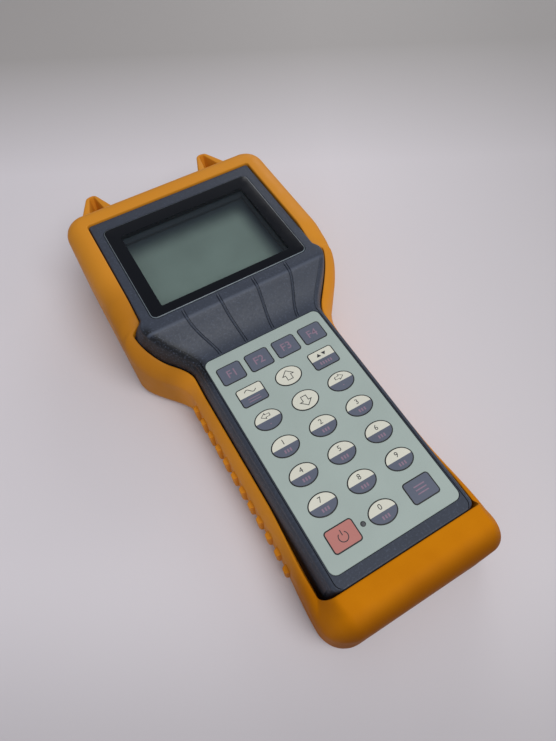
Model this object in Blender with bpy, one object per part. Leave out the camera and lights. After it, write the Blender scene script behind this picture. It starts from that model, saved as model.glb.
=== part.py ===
"""Hand-held cable TV signal level meter in a rubber holster. Metres, +Z up, +Y towards the head."""

import math

import bmesh
import bpy
from mathutils import Matrix, Vector

# Overall sizes and the gap kept between neighbouring pieces
BODY_LENGTH = 0.2340
EAR_LENGTH = 0.0257
GAP = 0.0003
OVERLAP = 0.0010
REACH = 0.0200

# A place along the body is its distance from the tail end or, where negative, from the head end
CASE_TAIL = 0.0065
CASE_HEAD = -0.0055
BUMPER_START = 0.0140
BUMPER_END = 0.0480
SIDE_FIRST = 0.0255
OUTER_NECK_START = -0.1125
OUTER_NECK_END = -0.0815

# Widths of the grip, from its rubber wall inwards
GRIP_WALL_HALF = 0.0388
GRIP_SIDE_WALL = 0.0046
BUMPER_PROUD = 0.0020
FLANK_SLOPE = 0.0036
LABEL_BORDER = 0.0012
CASE_GRIP_HALF = GRIP_WALL_HALF - GRIP_SIDE_WALL
FRONT_GRIP_HALF = CASE_GRIP_HALF - FLANK_SLOPE
LABEL_HALF = FRONT_GRIP_HALF - LABEL_BORDER

# Widths of the head, from its rubber wall inwards
HEAD_OUTER_HALF = 0.0562
HEAD_SIDE_WALL = 0.0062
HEAD_LIP_REACH = 0.0048
HEAD_FRONT_SET = 0.0010
WINDOW_BORDER = 0.0042
CASE_HEAD_HALF = HEAD_OUTER_HALF - HEAD_SIDE_WALL
HEAD_LIP_HALF = CASE_HEAD_HALF - HEAD_LIP_REACH
FRONT_HEAD_HALF = HEAD_LIP_HALF - HEAD_FRONT_SET
WINDOW_HALF = FRONT_HEAD_HALF - WINDOW_BORDER

# The stack of pieces under the keys, from the holster's back lip up to the label plane
BACK_LIP_THICKNESS = 0.0030
CASE_WALL = 0.0022
CELL_LIFT = 0.0005
CELL_COLUMN_share = 0.597
TRAY_SIDE = 0.0094
TRAY_HEADROOM = 0.0007
TRAY_WALL = 0.0015
BOARD_RISE = 0.0061
BOARD_THICKNESS = 0.0016
SHEET_THICKNESS = 0.0006
KEY_PLAY = 0.0006
KEY_FLANGE_DEPTH = 0.0054
CASE_FLOOR = BACK_LIP_THICKNESS + GAP
TRAY_HALF = CASE_GRIP_HALF - TRAY_SIDE
CELL_PITCH = TRAY_HALF * CELL_COLUMN_share
CELL_RADIUS = CELL_PITCH / 2 - GAP
CELL_HEIGHT = CASE_FLOOR + CASE_WALL + CELL_LIFT + CELL_RADIUS
TRAY_ROOF = CELL_HEIGHT + CELL_RADIUS + TRAY_HEADROOM
BOARD_UNDER = TRAY_ROOF + TRAY_WALL + BOARD_RISE
BOARD_TOP = BOARD_UNDER + BOARD_THICKNESS
SHEET_TOP = BOARD_TOP + GAP + SHEET_THICKNESS
KEY_FLANGE_BOTTOM = SHEET_TOP + KEY_PLAY
LABEL_HEIGHT = KEY_FLANGE_BOTTOM + KEY_FLANGE_DEPTH

# Heights, from the label plane
RAMP_RISE = 0.0112
RAMP_POWER = 1.7
RAMP_SOFT = 0.0016
RAMP_START = -0.1070
RAMP_END = -0.0890
GRIP_RIM_DROP = 0.0100
TAIL_RIM_PROUD = 0.0007
HEAD_RIM_PROUD = 0.0010
NECK_RIM_RISE = 0.0024
HEAD_RIM_RISE = 0.0033
NECK_RIM_START = -0.1185
NECK_RIM_END = -0.1065
SHOULDER_RIM_START = -0.0965
SHOULDER_RIM_END = -0.0745
HEAD_RIM_START = -0.0785
HEAD_RIM_END = -0.0645
GRIP_RIM = LABEL_HEIGHT - GRIP_RIM_DROP
TAIL_RIM = LABEL_HEIGHT + TAIL_RIM_PROUD
HEAD_FRONT = LABEL_HEIGHT + RAMP_RISE
HEAD_RIM = HEAD_FRONT + HEAD_RIM_PROUD
SHOULDER_RIM_RISE = HEAD_RIM - GRIP_RIM - NECK_RIM_RISE - HEAD_RIM_RISE

# Holster, roundings of the outside
TAIL_OUTER_ROUND = 0.0120
HEAD_OUTER_ROUND = 0.0110
FOOT_ROUND = 0.0050
EDGE_ROUND = 0.0090
EDGE_FALL = 0.0090
GRIP_EDGE_FALL = 0.0074
RIM_FLAT = 0.0007
GRIP_FULLNESS_share = 0.15

# Holster, lips and cavity
LIP_THICKNESS = 0.0030
LIP_EDGE = 0.0005
UNDERSIDE_DROP = 0.0003
SEAM_TURN_START = -0.0840
LIP_TURN_START = -0.0815
LIP_TURN_END = -0.0782
LIP_FLARE = 0.0017
LIP_FLARE_START = 0.0275
LIP_FLARE_END = 0.0615
LIP_FLARE_DEPTH = 0.0090
LIP_TAIL = 0.0160
LIP_HEAD = -0.0132
LIP_TAIL_ROUND = 0.0045
LIP_HEAD_ROUND = 0.0025
BACK_LIP = 0.0080
BACK_LIP_ROUND = 0.0060

# Grip ribs
RIB_COUNT = 12
RIB_FIRST = 0.0365
RIB_LAST = -0.1150
RIB_PITCH_share = 0.493
RIB_PROUD = 0.0022
RIB_LOW = 0.0052
RIB_HIGH_SET = 0.0110
RIB_BEVEL = 0.0007

# Ears on the head end, from the head's side wall inwards
EAR_BASE_SET = 0.0048
EAR_BASE_WIDTH = 0.0311
EAR_TIP_SET = 0.0195
EAR_TIP_WIDTH = 0.0053
EAR_TOP_SET = 0.0158
EAR_THICKNESS = 0.0214
EAR_WALL = 0.0030
EAR_POCKET_DEPTH = 0.0100
EAR_POCKET_DRAFT_share = 0.55
EAR_BEVEL = 0.0010
EAR_HIGH = HEAD_RIM - EAR_TOP_SET

# Case, outside
CASE_NECK_START = -0.1085
CASE_NECK_END = -0.0805
CASE_TAIL_ROUND = 0.0095
CASE_HEAD_ROUND = 0.0060
CASE_CHAMFER = 0.0030
FRONT_TAIL_SET = 0.0003
FRONT_HEAD_SET = 0.0003
FRONT_TAIL_ROUND = 0.0035
FRONT_HEAD_ROUND = 0.0022
FRONT_ROUND_LEAST = 0.0003
FRONT_STEP = 0.0002
FRONT_NECK_START = -0.1080
FRONT_NECK_END = -0.0835
FRONT_SHOULDER_PROUD = 0.0016
FRONT_SHOULDER_START = -0.0835
FRONT_SHOULDER_END = -0.0795
FRONT_EDGE = 0.0007
LEDGE_EDGE = 0.0006
SEAM_RISE = 0.0005
SLIVER = 0.0001
FLANK_OUT_share = 0.6
FLANK_DOWN_share = 0.45
BACK_HALF_DEPTH = 0.0100
SEAL_THICKNESS = 0.0008
BACK_TOP = CASE_FLOOR + BACK_HALF_DEPTH
FRONT_BOTTOM = BACK_TOP + SEAL_THICKNESS + 2 * GAP
FRONT_TAIL = LIP_TAIL + FRONT_TAIL_SET
FRONT_HEAD = LIP_HEAD - FRONT_HEAD_SET

# Fine grooves on the ramp
GROOVE_WIDTH = 0.0012
GROOVE_DEPTH = 0.0004
GROOVE_FOOT = -0.1068
GROOVE_TOP = -0.0850
GROOVE_INNER_share = 0.2275
GROOVE_OUTER_share = 0.6625
GROOVE_FOOT_share = 0.762
GROOVE_STEPS = 8
GROOVE_BEND_START = -0.1075
GROOVE_BEND_END = -0.0880

# Window and display
WINDOW_TAIL = -0.0830
WINDOW_HEAD = -0.0205
WINDOW_ROUND = 0.0030
WINDOW_THICKNESS = 0.0017
WINDOW_PROUD = 0.0002
WINDOW_SEAT = 0.0018
WINDOW_SEAT_MARGIN = 0.0012
VIEW_SIDE = 0.0067
VIEW_TAIL_BORDER = 0.0052
VIEW_HEAD_BORDER = 0.0080
COLLAR_WALL = 0.0015
BEZEL_DEPTH = 0.0061
BEZEL_SHEET = 0.0005
BEZEL_SKIRT = 0.0050
BEZEL_MARGIN = 0.0045
GLASS_THICKNESS = 0.0020
BACKLIGHT_THICKNESS = 0.0025
LCD_BOARD_THICKNESS = 0.0016
LCD_BOARD_MARGIN = 0.0055
WINDOW_TOP = HEAD_FRONT + WINDOW_PROUD
VIEW_HALF = WINDOW_HALF - VIEW_SIDE
VIEW_TAIL = WINDOW_TAIL + VIEW_TAIL_BORDER
VIEW_HEAD = WINDOW_HEAD - VIEW_HEAD_BORDER
BEZEL_TOP = WINDOW_TOP - BEZEL_DEPTH

# Keypad
LABEL_TAIL = 0.0215
LABEL_HEAD_SET = 0.0010
LABEL_ROUND = 0.0030
LABEL_THICKNESS = 0.0004
LABEL_PROUD = 0.0001
LAST_ROW_SET = 0.01055
SOFT_ROW_SET = 0.01061
KEY_ROWS = 7
SOFT_KEYS = 4
KEY_COLUMN_share = 0.6122
SOFT_KEY_COLUMN_share = 0.4694
KEY_LENGTH_share = 0.661
KEY_WIDTH_share = 0.648
SOFT_KEY_LENGTH_share = 0.797
SOFT_KEY_WIDTH_share = 0.662
KEY_ROUND = 0.0012
KEY_PROUD = 0.0004
KEY_BEVEL = 0.0003
KEY_FLANGE = 0.0008
SHEET_BORDER = 0.0024
SHEET_MARGIN = 0.0052
LED_share = -0.308
LED_RADIUS = 0.0012
LED_PROUD = 0.0004
OVAL_STEPS = 16
CORNER_STEPS = 2
LABEL_HEAD = RAMP_START - LABEL_HEAD_SET
KEY_COLUMN_PITCH = LABEL_HALF * KEY_COLUMN_share
SOFT_KEY_PITCH = LABEL_HALF * SOFT_KEY_COLUMN_share
KEY_TOP = LABEL_HEIGHT + KEY_PROUD
SHEET_HALF = LABEL_HALF - SHEET_BORDER
LED_X = LABEL_HALF * LED_share
LED_TOP = LABEL_HEIGHT + LED_PROUD

# Screws
HEAD_SCREW_SET = 0.0080
HEAD_SCREW_Y = -0.0205
TAIL_SCREW_SET = 0.0102
TAIL_SCREW_Y = 0.0125
SCREW_HEAD_RADIUS = 0.0028
SCREW_HEAD_HEIGHT = 0.0020
SCREW_SHANK_RADIUS = 0.0012
SCREW_GRIP = 0.0048
SCREW_SET_BACK = 0.0004
DRIVE_RADIUS = 0.0012
DRIVE_DEPTH = 0.0009
COVER_SCREW_HEAD_HEIGHT = 0.0012
COVER_SCREW_LENGTH = 0.0097
BOSS_RADIUS_BACK = 0.0042
BOSS_RADIUS_FRONT = 0.0032
HEAD_SCREW_X = CASE_HEAD_HALF - HEAD_SCREW_SET
TAIL_SCREW_X = CASE_GRIP_HALF - TAIL_SCREW_SET
SCREW_TOP = FRONT_BOTTOM + SCREW_GRIP
COVER_SCREW_TOP = CASE_FLOOR + COVER_SCREW_LENGTH

# Main board and what stands on it
BOARD_GRIP_BORDER = 0.0019
BOARD_HEAD_CLEARANCE = 0.0008
BOARD_TAIL_SET = 0.0025
BOARD_STEP = -0.0940
BOARD_HEAD = -0.0120
CHIP_SIZE = 0.0140
CHIP_THICKNESS = 0.0016
CHIP_Y = -0.0590
TUNER_X = -0.0100
TUNER_WIDTH = 0.0360
TUNER_LENGTH = 0.0320
TUNER_HEIGHT = 0.0125
BUZZER_SET = 0.0120
BUZZER_Y = -0.0340
BUZZER_RADIUS = 0.0060
BUZZER_HEIGHT = 0.0070
FLEX_WIDTH = 0.0200
FLEX_THICKNESS = 0.0004
FLEX_Y = -0.0780
BOARD_TAIL = LABEL_TAIL + BOARD_TAIL_SET
BOARD_GRIP_HALF = LABEL_HALF - BOARD_GRIP_BORDER
BOARD_HEAD_HALF = HEAD_SCREW_X - BOSS_RADIUS_FRONT - BOARD_HEAD_CLEARANCE
BUZZER_X = BOARD_HEAD_HALF - BUZZER_SET

# Sockets on the head end
SOCKET_DROP = 0.0060
THREAD_RADIUS = 0.0047
THREAD_LENGTH = 0.0175
BODY_BORE_RADIUS = 0.0035
BODY_FLANGE_RADIUS = 0.0065
BODY_FLANGE_THICKNESS = 0.0025
NUT_RADIUS = 0.0080
NUT_THICKNESS = 0.0024
NUT_SIDES = 6
WASHER_RADIUS = 0.0072
WASHER_THICKNESS = 0.0006
CONTACT_RADIUS = 0.0006
CONTACT_SET_BACK = 0.0015
JACK_X = 0.0135
JACK_WIDTH = 0.0090
JACK_LENGTH = 0.0120
JACK_BARREL_RADIUS = 0.0040
JACK_BORE_RADIUS = 0.0027
JACK_BORE_DEPTH = 0.0090
JACK_PIN_RADIUS = 0.0010
PORT_HALF = 0.0200
PORT_ABOVE = 0.0125
PORT_BELOW = 0.0125
ROUND_STEPS = 20
SMALL_STEPS = 12
SOCKET_HEIGHT = BOARD_UNDER - SOCKET_DROP
END_INSIDE = CASE_HEAD - CASE_WALL

# Cells, contacts and battery cover
COVER_HEAD = -0.1010
COVER_BOSS_SET = 0.0048
COVER_BOSS_RADIUS = 0.0036
COVER_BOSS_CLEARANCE = 0.0008
COVER_BOSS_RISE = 0.0050
TRAY_TAIL = 0.0203
CELLS_SET = 0.0013
CELL_COLUMNS = 3
CELL_ROWS = 2
CELL_BUTTON_share = 0.366
CELL_BUTTON_LENGTH = 0.0010
CELL_BUTTON_EDGE = 0.0005
CONTACT_THICKNESS = 0.0006
CONTACT_SIDE = 0.0028
CONTACT_HEIGHT_share = 0.845
COVER_BOSS_Y = COVER_HEAD - COVER_BOSS_SET
TRAY_HEAD = COVER_BOSS_Y - COVER_BOSS_RADIUS - COVER_BOSS_CLEARANCE
CELL_BUTTON_RADIUS = CELL_RADIUS * CELL_BUTTON_share
CELLS_TAIL = TRAY_TAIL + CELLS_SET
CONTACT_HALF = TRAY_HALF - CONTACT_SIDE
CONTACT_HEIGHT = 2 * CELL_RADIUS * CONTACT_HEIGHT_share
COVER_BOSS_TOP = COVER_SCREW_TOP + COVER_BOSS_RISE

# Stations as shares of the grip, the neck, the lip's turn and the head, and points round corners
GRIP_shares = (0.0, 0.16, 0.36, 0.59, 0.79, 0.95)
NECK_shares = (0.07, 0.18, 0.29, 0.4, 0.51, 0.62, 0.7, 0.78, 0.86, 0.93, 0.99)
TURN_shares = (0.2, 0.5, 0.85)
HEAD_shares = (0.01, 0.05, 0.11, 0.21, 0.46, 0.78)
END_shares = (0.45, 0.8)
ARC_STEPS = 4
FILLET_STEPS = 4
FOOT_STEPS = 2

OVERALL_LENGTH = BODY_LENGTH + EAR_LENGTH
TAIL_Y = -OVERALL_LENGTH / 2
HEAD_Y = TAIL_Y + BODY_LENGTH
LEDGE_DROP = LIP_THICKNESS + UNDERSIDE_DROP + GAP
WALL_INSIDE = LABEL_HEIGHT - CASE_WALL

COLOURS = {
    "rubber": (0.80, 0.50, 0.12),
    "slate": (0.24, 0.26, 0.31),
    "black": (0.07, 0.07, 0.08),
    "label": (0.62, 0.68, 0.64),
    "cream": (0.89, 0.88, 0.80),
    "key_slate": (0.37, 0.39, 0.45),
    "salmon": (0.78, 0.50, 0.46),
    "metal": (0.75, 0.75, 0.74),
    "nickel": (0.70, 0.68, 0.63),
    "board": (0.10, 0.32, 0.18),
    "display": (0.38, 0.45, 0.43),
    "white": (0.90, 0.90, 0.88),
    "clear": (0.10, 0.11, 0.13),
    "cell": (0.20, 0.42, 0.30),
    "seal": (0.12, 0.12, 0.13),
    "amber": (0.35, 0.22, 0.08),
}


def along(place):
    """The y of a place given from the tail end or, where negative, from the head end."""
    return (HEAD_Y if place < 0 else TAIL_Y) + place


def ease(value, low, high):
    """0 below low, 1 above high, with a smooth rise between them."""
    share = min(max((value - low) / (high - low), 0.0), 1.0)
    return share * share * (3.0 - 2.0 * share)


def mix(first, second, share):
    return first + (second - first) * share


def clear_scene():
    for item in list(bpy.data.objects):
        bpy.data.objects.remove(item, do_unlink=True)


def collection(name):
    made = bpy.data.collections.new(name)
    bpy.context.scene.collection.children.link(made)
    return made


def linear(channel):
    return channel / 12.92 if channel <= 0.04045 else ((channel + 0.055) / 1.055) ** 2.4


def material(name, colour, roughness, metallic):
    made = bpy.data.materials.new(name + "_material")
    made.use_nodes = True
    shader = made.node_tree.nodes["Principled BSDF"]
    tone = [linear(channel) for channel in COLOURS[colour]]
    shader.inputs["Base Color"].default_value = (*tone, 1.0)
    shader.inputs["Roughness"].default_value = roughness
    shader.inputs["Metallic"].default_value = metallic
    made.diffuse_color = (*tone, 1.0)
    return made


def into_object(name, shape):
    bmesh.ops.recalc_face_normals(shape, faces=shape.faces)
    mesh = bpy.data.meshes.new(name)
    shape.to_mesh(mesh)
    shape.free()
    return bpy.data.objects.new(name, mesh)


def piece(name, shape, colour, roughness=0.5, metallic=0.0, place=(0.0, 0.0, 0.0)):
    """A finished piece: its own object, its own material, its origin at place."""
    item = into_object(name, shape)
    item.data.materials.append(material(name, colour, roughness, metallic))
    item.location = place
    PARTS.objects.link(item)
    return item


def cutter(name, shape):
    item = into_object(name, shape)
    item.hide_render = True
    item.display_type = "WIRE"
    CUTTERS.objects.link(item)
    return item


def boolean(item, name, shape, operation):
    step = item.modifiers.new(name, "BOOLEAN")
    step.operation = operation
    step.solver = "EXACT"
    step.object = cutter(name, shape)


def loft(shape, sections, closed):
    """Joins rings of equally many points; a closed loft joins the last ring to the first."""
    rings = [[shape.verts.new(point) for point in section] for section in sections]
    pairs = list(zip(rings, rings[1:]))
    if closed:
        pairs.append((rings[-1], rings[0]))
    for low, high in pairs:
        for index in range(len(low)):
            after = (index + 1) % len(low)
            shape.faces.new((low[index], low[after], high[after], high[index]))
    if not closed:
        shape.faces.new(rings[0])
        shape.faces.new(rings[-1])


def add_box(shape, low, high):
    size = Vector(high) - Vector(low)
    middle = (Vector(high) + Vector(low)) / 2
    matrix = Matrix.Translation(middle) @ Matrix.Diagonal((*size, 1.0))
    bmesh.ops.create_cube(shape, size=1.0, matrix=matrix)


def box(low, high):
    shape = bmesh.new()
    add_box(shape, low, high)
    return shape


def add_plate(shape, loop, low, high):
    """A flat loop of (x, y) points drawn up from height low to height high."""
    face = shape.faces.new([shape.verts.new((x, y, low)) for x, y in loop])
    grown = bmesh.ops.extrude_face_region(shape, geom=[face])["geom"]
    risen = [item for item in grown if isinstance(item, bmesh.types.BMVert)]
    bmesh.ops.translate(shape, verts=risen, vec=(0.0, 0.0, high - low))


def plate(loop, low, high):
    shape = bmesh.new()
    add_plate(shape, loop, low, high)
    return shape


def add_rod(shape, start, end, radius, steps, along_y=False):
    """A round rod from start to end, upright or lying along y."""
    start, end = Vector(start), Vector(end)
    matrix = Matrix.Translation((start + end) / 2)
    if along_y:
        matrix = matrix @ Matrix.Rotation(math.pi / 2, 4, "X")
    bmesh.ops.create_cone(
        shape, cap_ends=True, segments=steps, radius1=radius, radius2=radius,
        depth=(end - start).length, matrix=matrix)


def turned(profile, steps, place=(0.0, 0.0, 0.0), along_y=False):
    """A profile of (radius, length) points spun round its own axis."""
    shape = bmesh.new()
    points = [shape.verts.new((radius, 0.0, height)) for radius, height in profile]
    edges = [shape.edges.new((points[i], points[(i + 1) % len(points)])) for i in range(len(points))]
    bmesh.ops.spin(
        shape, geom=points + edges, cent=(0.0, 0.0, 0.0), axis=(0.0, 0.0, 1.0),
        angle=2 * math.pi, steps=steps, use_merge=True)
    bmesh.ops.remove_doubles(shape, verts=shape.verts, dist=SLIVER / 10)
    turn = Matrix.Rotation(-math.pi / 2, 4, "X") if along_y else Matrix.Identity(4)
    bmesh.ops.transform(shape, verts=shape.verts, matrix=Matrix.Translation(place) @ turn)
    return shape


def rounded_box(half_x, low_y, high_y, radius, steps=3):
    """A rounded rectangle of (x, y) points, its middle on x = 0."""
    points = []
    for sign_x, sign_y, start in ((1, 1, 0), (-1, 1, 1), (-1, -1, 2), (1, -1, 3)):
        middle_x = sign_x * (half_x - radius)
        middle_y = high_y - radius if sign_y > 0 else low_y + radius
        for step in range(steps + 1):
            angle = (start + step / steps) * math.pi / 2
            points.append((middle_x + radius * math.cos(angle), middle_y + radius * math.sin(angle)))
    return points


def oval(length, width):
    turns = [2 * math.pi * step / OVAL_STEPS for step in range(OVAL_STEPS)]
    return [(length / 2 * math.cos(turn), width / 2 * math.sin(turn)) for turn in turns]


def case_half(y):
    """Half the width of the case below its ledge."""
    return mix(CASE_GRIP_HALF, CASE_HEAD_HALF, ease(y, along(CASE_NECK_START), along(CASE_NECK_END)))


def cavity_half(y):
    return case_half(y) + GAP


def outer_half(y):
    bumper = BUMPER_PROUD * (1.0 - ease(y, along(BUMPER_START), along(BUMPER_END)))
    head = (HEAD_OUTER_HALF - GRIP_WALL_HALF) * ease(y, along(OUTER_NECK_START), along(OUTER_NECK_END))
    return GRIP_WALL_HALF + bumper + head


def lip_flare(y):
    """1 where the front opening stands away from the grip near the tail, 0 further up."""
    return 1.0 - ease(y, along(LIP_FLARE_START), along(LIP_FLARE_END))


def lip_half(y):
    """Half the width of the holster's front opening."""
    flare = LIP_FLARE * lip_flare(y)
    turn = ease(y, along(LIP_TURN_START), along(LIP_TURN_END))
    return mix(cavity_half(y) + flare + SLIVER, HEAD_LIP_HALF, turn)


def back_half(y):
    return cavity_half(y) - BACK_LIP


def rim_height(y):
    neck = NECK_RIM_RISE * ease(y, along(NECK_RIM_START), along(NECK_RIM_END))
    shoulder = SHOULDER_RIM_RISE * ease(y, along(SHOULDER_RIM_START), along(SHOULDER_RIM_END))
    head = HEAD_RIM_RISE * ease(y, along(HEAD_RIM_START), along(HEAD_RIM_END))
    return GRIP_RIM + neck + shoulder + head


def front_height(y):
    """The front: flat, a ramp that rises as a power of the way up it, a soft crest, flat again."""
    share = max((y - along(RAMP_START)) / (RAMP_END - RAMP_START), 0.0)
    spare = RAMP_RISE * (share ** RAMP_POWER - 1.0)
    return HEAD_FRONT + (spare - math.hypot(spare, RAMP_SOFT * min(share, 1.0))) / 2


def front_half(y):
    """Half the width of the front: grip, neck, a shoulder wider than the head, head."""
    proud = FRONT_SHOULDER_PROUD * (1.0 - ease(y, along(FRONT_SHOULDER_START), along(FRONT_SHOULDER_END)))
    neck = ease(y, along(FRONT_NECK_START), along(FRONT_NECK_END))
    return mix(FRONT_GRIP_HALF, FRONT_HEAD_HALF + proud, neck)


def side_places():
    """The y of every station along the sides: grip, neck, the lip's turn and the head."""
    marks = [along(SIDE_FIRST), along(NECK_RIM_START), along(LIP_TURN_START), along(LIP_TURN_END)]
    marks.append(along(LIP_HEAD))
    groups = (GRIP_shares, NECK_shares, TURN_shares, HEAD_shares)
    return [mix(low, high, s) for low, high, group in zip(marks, marks[1:], groups) for s in group]


def half_outline(half, tail, head, tail_round, head_round):
    """The +x half of a plan outline, from the middle of the tail to the middle of the head."""
    low = half(tail + tail_round) - tail_round
    high = half(head - head_round) - head_round
    turns = [math.pi / 2 * step / ARC_STEPS for step in range(ARC_STEPS + 1)]
    points = [(0.0, tail)] + [(low * share, tail) for share in END_shares]
    points += [(low + tail_round * math.sin(t), tail + tail_round * (1 - math.cos(t))) for t in turns]
    points += [(half(y), y) for y in side_places()]
    points += [(high + head_round * math.cos(t), head - head_round * (1 - math.sin(t))) for t in turns]
    points += [(high * share, head) for share in reversed(END_shares)] + [(0.0, head)]
    return [Vector(point) for point in points]


def station_heights():
    """Rim height and lip underside for every station of a half outline."""
    corner = len(END_shares) + 1
    rims = [TAIL_RIM] * corner
    rims += [mix(TAIL_RIM, GRIP_RIM, ease(step / ARC_STEPS, 0.0, 1.0)) for step in range(ARC_STEPS + 1)]
    unders = [GRIP_RIM - LIP_THICKNESS] * len(rims)
    unders[-1] -= LIP_FLARE_DEPTH
    sides = [rim_height(y) for y in side_places()]
    unders += [rim_height(y) - LIP_THICKNESS - LIP_FLARE_DEPTH * lip_flare(y) for y in side_places()]
    ends = [HEAD_RIM] * (ARC_STEPS + 1 + corner)
    unders += [height - LIP_THICKNESS for height in ends]
    return rims + sides + ends, unders


def edge_shape(y):
    """How far the outer front edge falls, and how full its rounding is, at this y."""
    grip = ease(y, along(BUMPER_START), along(BUMPER_END))
    grip *= 1.0 - ease(y, along(OUTER_NECK_START), along(OUTER_NECK_END))
    return mix(EDGE_FALL, GRIP_EDGE_FALL, grip), mix(1.0, GRIP_FULLNESS_share, grip)


def holster_section(outer, cavity, lip, back, rim, under):
    """One section of the holster: foot, outer wall, rounded rim, front lip, cavity, back lip."""
    inward = (lip - outer).normalized()
    foot = (back - outer).normalized()
    width = min(EDGE_ROUND, (lip - outer).length - RIM_FLAT)
    fall, fullness = edge_shape(outer.y)
    points = [(*back, 0.0)]
    for step in range(FOOT_STEPS + 1):
        turn = math.pi / 2 * step / FOOT_STEPS
        place = outer + foot * FOOT_ROUND * (1 - math.sin(turn))
        points.append((*place, FOOT_ROUND * (1 - math.cos(turn))))
    for step in range(FILLET_STEPS + 1):
        turn = math.pi / 2 * step / FILLET_STEPS
        share = step / FILLET_STEPS
        across = mix(share, 1 - math.cos(turn), fullness)
        down = mix(1 - share, 1 - math.sin(turn), fullness)
        points.append((*(outer + inward * width * across), rim - fall * down))
    points.append((*(lip - inward * LIP_EDGE), rim))
    points.append((*lip, rim - LIP_EDGE))
    points.append((*lip, under))
    points.append((*cavity, under - UNDERSIDE_DROP))
    points.append((*cavity, BACK_LIP_THICKNESS))
    points.append((*back, BACK_LIP_THICKNESS))
    return points


def holster_shape():
    outer = half_outline(outer_half, TAIL_Y, HEAD_Y, TAIL_OUTER_ROUND, HEAD_OUTER_ROUND)
    cavity = half_outline(
        cavity_half, along(CASE_TAIL) - GAP, along(CASE_HEAD) + GAP,
        CASE_TAIL_ROUND + GAP, CASE_HEAD_ROUND + GAP)
    lip = half_outline(lip_half, along(LIP_TAIL), along(LIP_HEAD), LIP_TAIL_ROUND, LIP_HEAD_ROUND)
    back = half_outline(
        back_half, along(CASE_TAIL) - GAP + BACK_LIP, along(CASE_HEAD) + GAP - BACK_LIP,
        BACK_LIP_ROUND, BACK_LIP_ROUND)
    stations = list(zip(outer, cavity, lip, back, *station_heights()))
    right = [holster_section(*station) for station in stations]
    left = [[(-x, y, z) for x, y, z in section] for section in reversed(right[1:-1])]
    shape = bmesh.new()
    loft(shape, right + left, closed=True)
    return shape


def rib_shape():
    """The grip ribs of both sides, each a bar part sunk in the wall."""
    shape = bmesh.new()
    pitch = (along(RIB_LAST) - along(RIB_FIRST)) / (RIB_COUNT - 1)
    length = pitch * RIB_PITCH_share
    for index in range(RIB_COUNT):
        start = along(RIB_FIRST) + index * pitch - length / 2
        for side in (-1, 1):
            near = side * (GRIP_WALL_HALF - OVERLAP)
            far = side * (GRIP_WALL_HALF + RIB_PROUD)
            low = (min(near, far), start, RIB_LOW)
            add_box(shape, low, (max(near, far), start + length, GRIP_RIM - RIB_HIGH_SET))
    edges = [edge for edge in shape.edges if rib_edge(edge)]
    bmesh.ops.bevel(shape, geom=edges, offset=RIB_BEVEL, segments=1, affect="EDGES", profile=0.5)
    return shape


def rib_edge(edge):
    return all(abs(vert.co.x) > GRIP_WALL_HALF + RIB_PROUD / 2 for vert in edge.verts)


def ear_loop(margin):
    """Plan of an ear on the +x side, drawn in by margin on its free sides."""
    start = HEAD_Y - OVERLAP * 2 if margin == 0 else HEAD_Y + margin
    share = margin / EAR_LENGTH
    base, tip_far = HEAD_OUTER_HALF - EAR_BASE_SET, HEAD_OUTER_HALF - EAR_TIP_SET
    near = mix(base - EAR_BASE_WIDTH, tip_far - EAR_TIP_WIDTH, share) + margin
    far = mix(base, tip_far, share) - margin
    tip = HEAD_Y + EAR_LENGTH - margin
    middle = tip_far - EAR_TIP_WIDTH / 2
    half = (EAR_TIP_WIDTH - margin) / 2
    return [(near, start), (far, start), (middle + half, tip), (middle - half, tip)]


def ear_shape():
    shape = bmesh.new()
    for side in (-1, 1):
        loop = [(side * x, y) for x, y in ear_loop(0.0)]
        add_plate(shape, loop, EAR_HIGH - EAR_THICKNESS, EAR_HIGH)
    edges = [edge for edge in shape.edges if all(vert.co.y > HEAD_Y for vert in edge.verts)]
    edges += [edge for edge in shape.edges if ear_side_edge(edge)]
    bmesh.ops.bevel(shape, geom=list(set(edges)), offset=EAR_BEVEL, segments=2, affect="EDGES", profile=0.5)
    return shape


def ear_side_edge(edge):
    low, high = sorted(vert.co.y for vert in edge.verts)
    return low < HEAD_Y < high


def pocket_shape():
    """The hollow in each ear: wide at the front, small at its floor."""
    shape = bmesh.new()
    for side in (-1, 1):
        wide = [Vector((side * x, y)) for x, y in ear_loop(EAR_WALL)]
        middle = sum(wide, Vector((0.0, 0.0))) / len(wide)
        small = [middle + (point - middle) * EAR_POCKET_DRAFT_share for point in wide]
        floor = EAR_HIGH - EAR_POCKET_DEPTH
        top = EAR_HIGH + OVERLAP
        over = [middle + (point - middle) * (1 + OVERLAP / EAR_POCKET_DEPTH) for point in wide]
        loft(shape, [[(*p, floor) for p in small], [(*p, top) for p in over]], closed=False)
    return shape


def make_holster():
    item = piece("holster", holster_shape(), "rubber", 0.62)
    boolean(item, "holster_ribs", rib_shape(), "UNION")
    boolean(item, "holster_ears", ear_shape(), "UNION")
    boolean(item, "holster_pockets", pocket_shape(), "DIFFERENCE")
    port = box(
        (-PORT_HALF, along(CASE_HEAD) - REACH / 2, SOCKET_HEIGHT - PORT_BELOW),
        (PORT_HALF, HEAD_Y + REACH, SOCKET_HEIGHT + PORT_ABOVE))
    boolean(item, "holster_port", port, "DIFFERENCE")


def corner_cut(y, tail, head, tail_round, head_round):
    """How much a rounded plan corner takes off the half width at this y."""
    below = tail + tail_round - y
    above = y - head + head_round
    if below > 0:
        return tail_round - math.sqrt(max(tail_round ** 2 - below ** 2, 0.0))
    if above > 0:
        return head_round - math.sqrt(max(head_round ** 2 - above ** 2, 0.0))
    return 0.0


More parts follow.
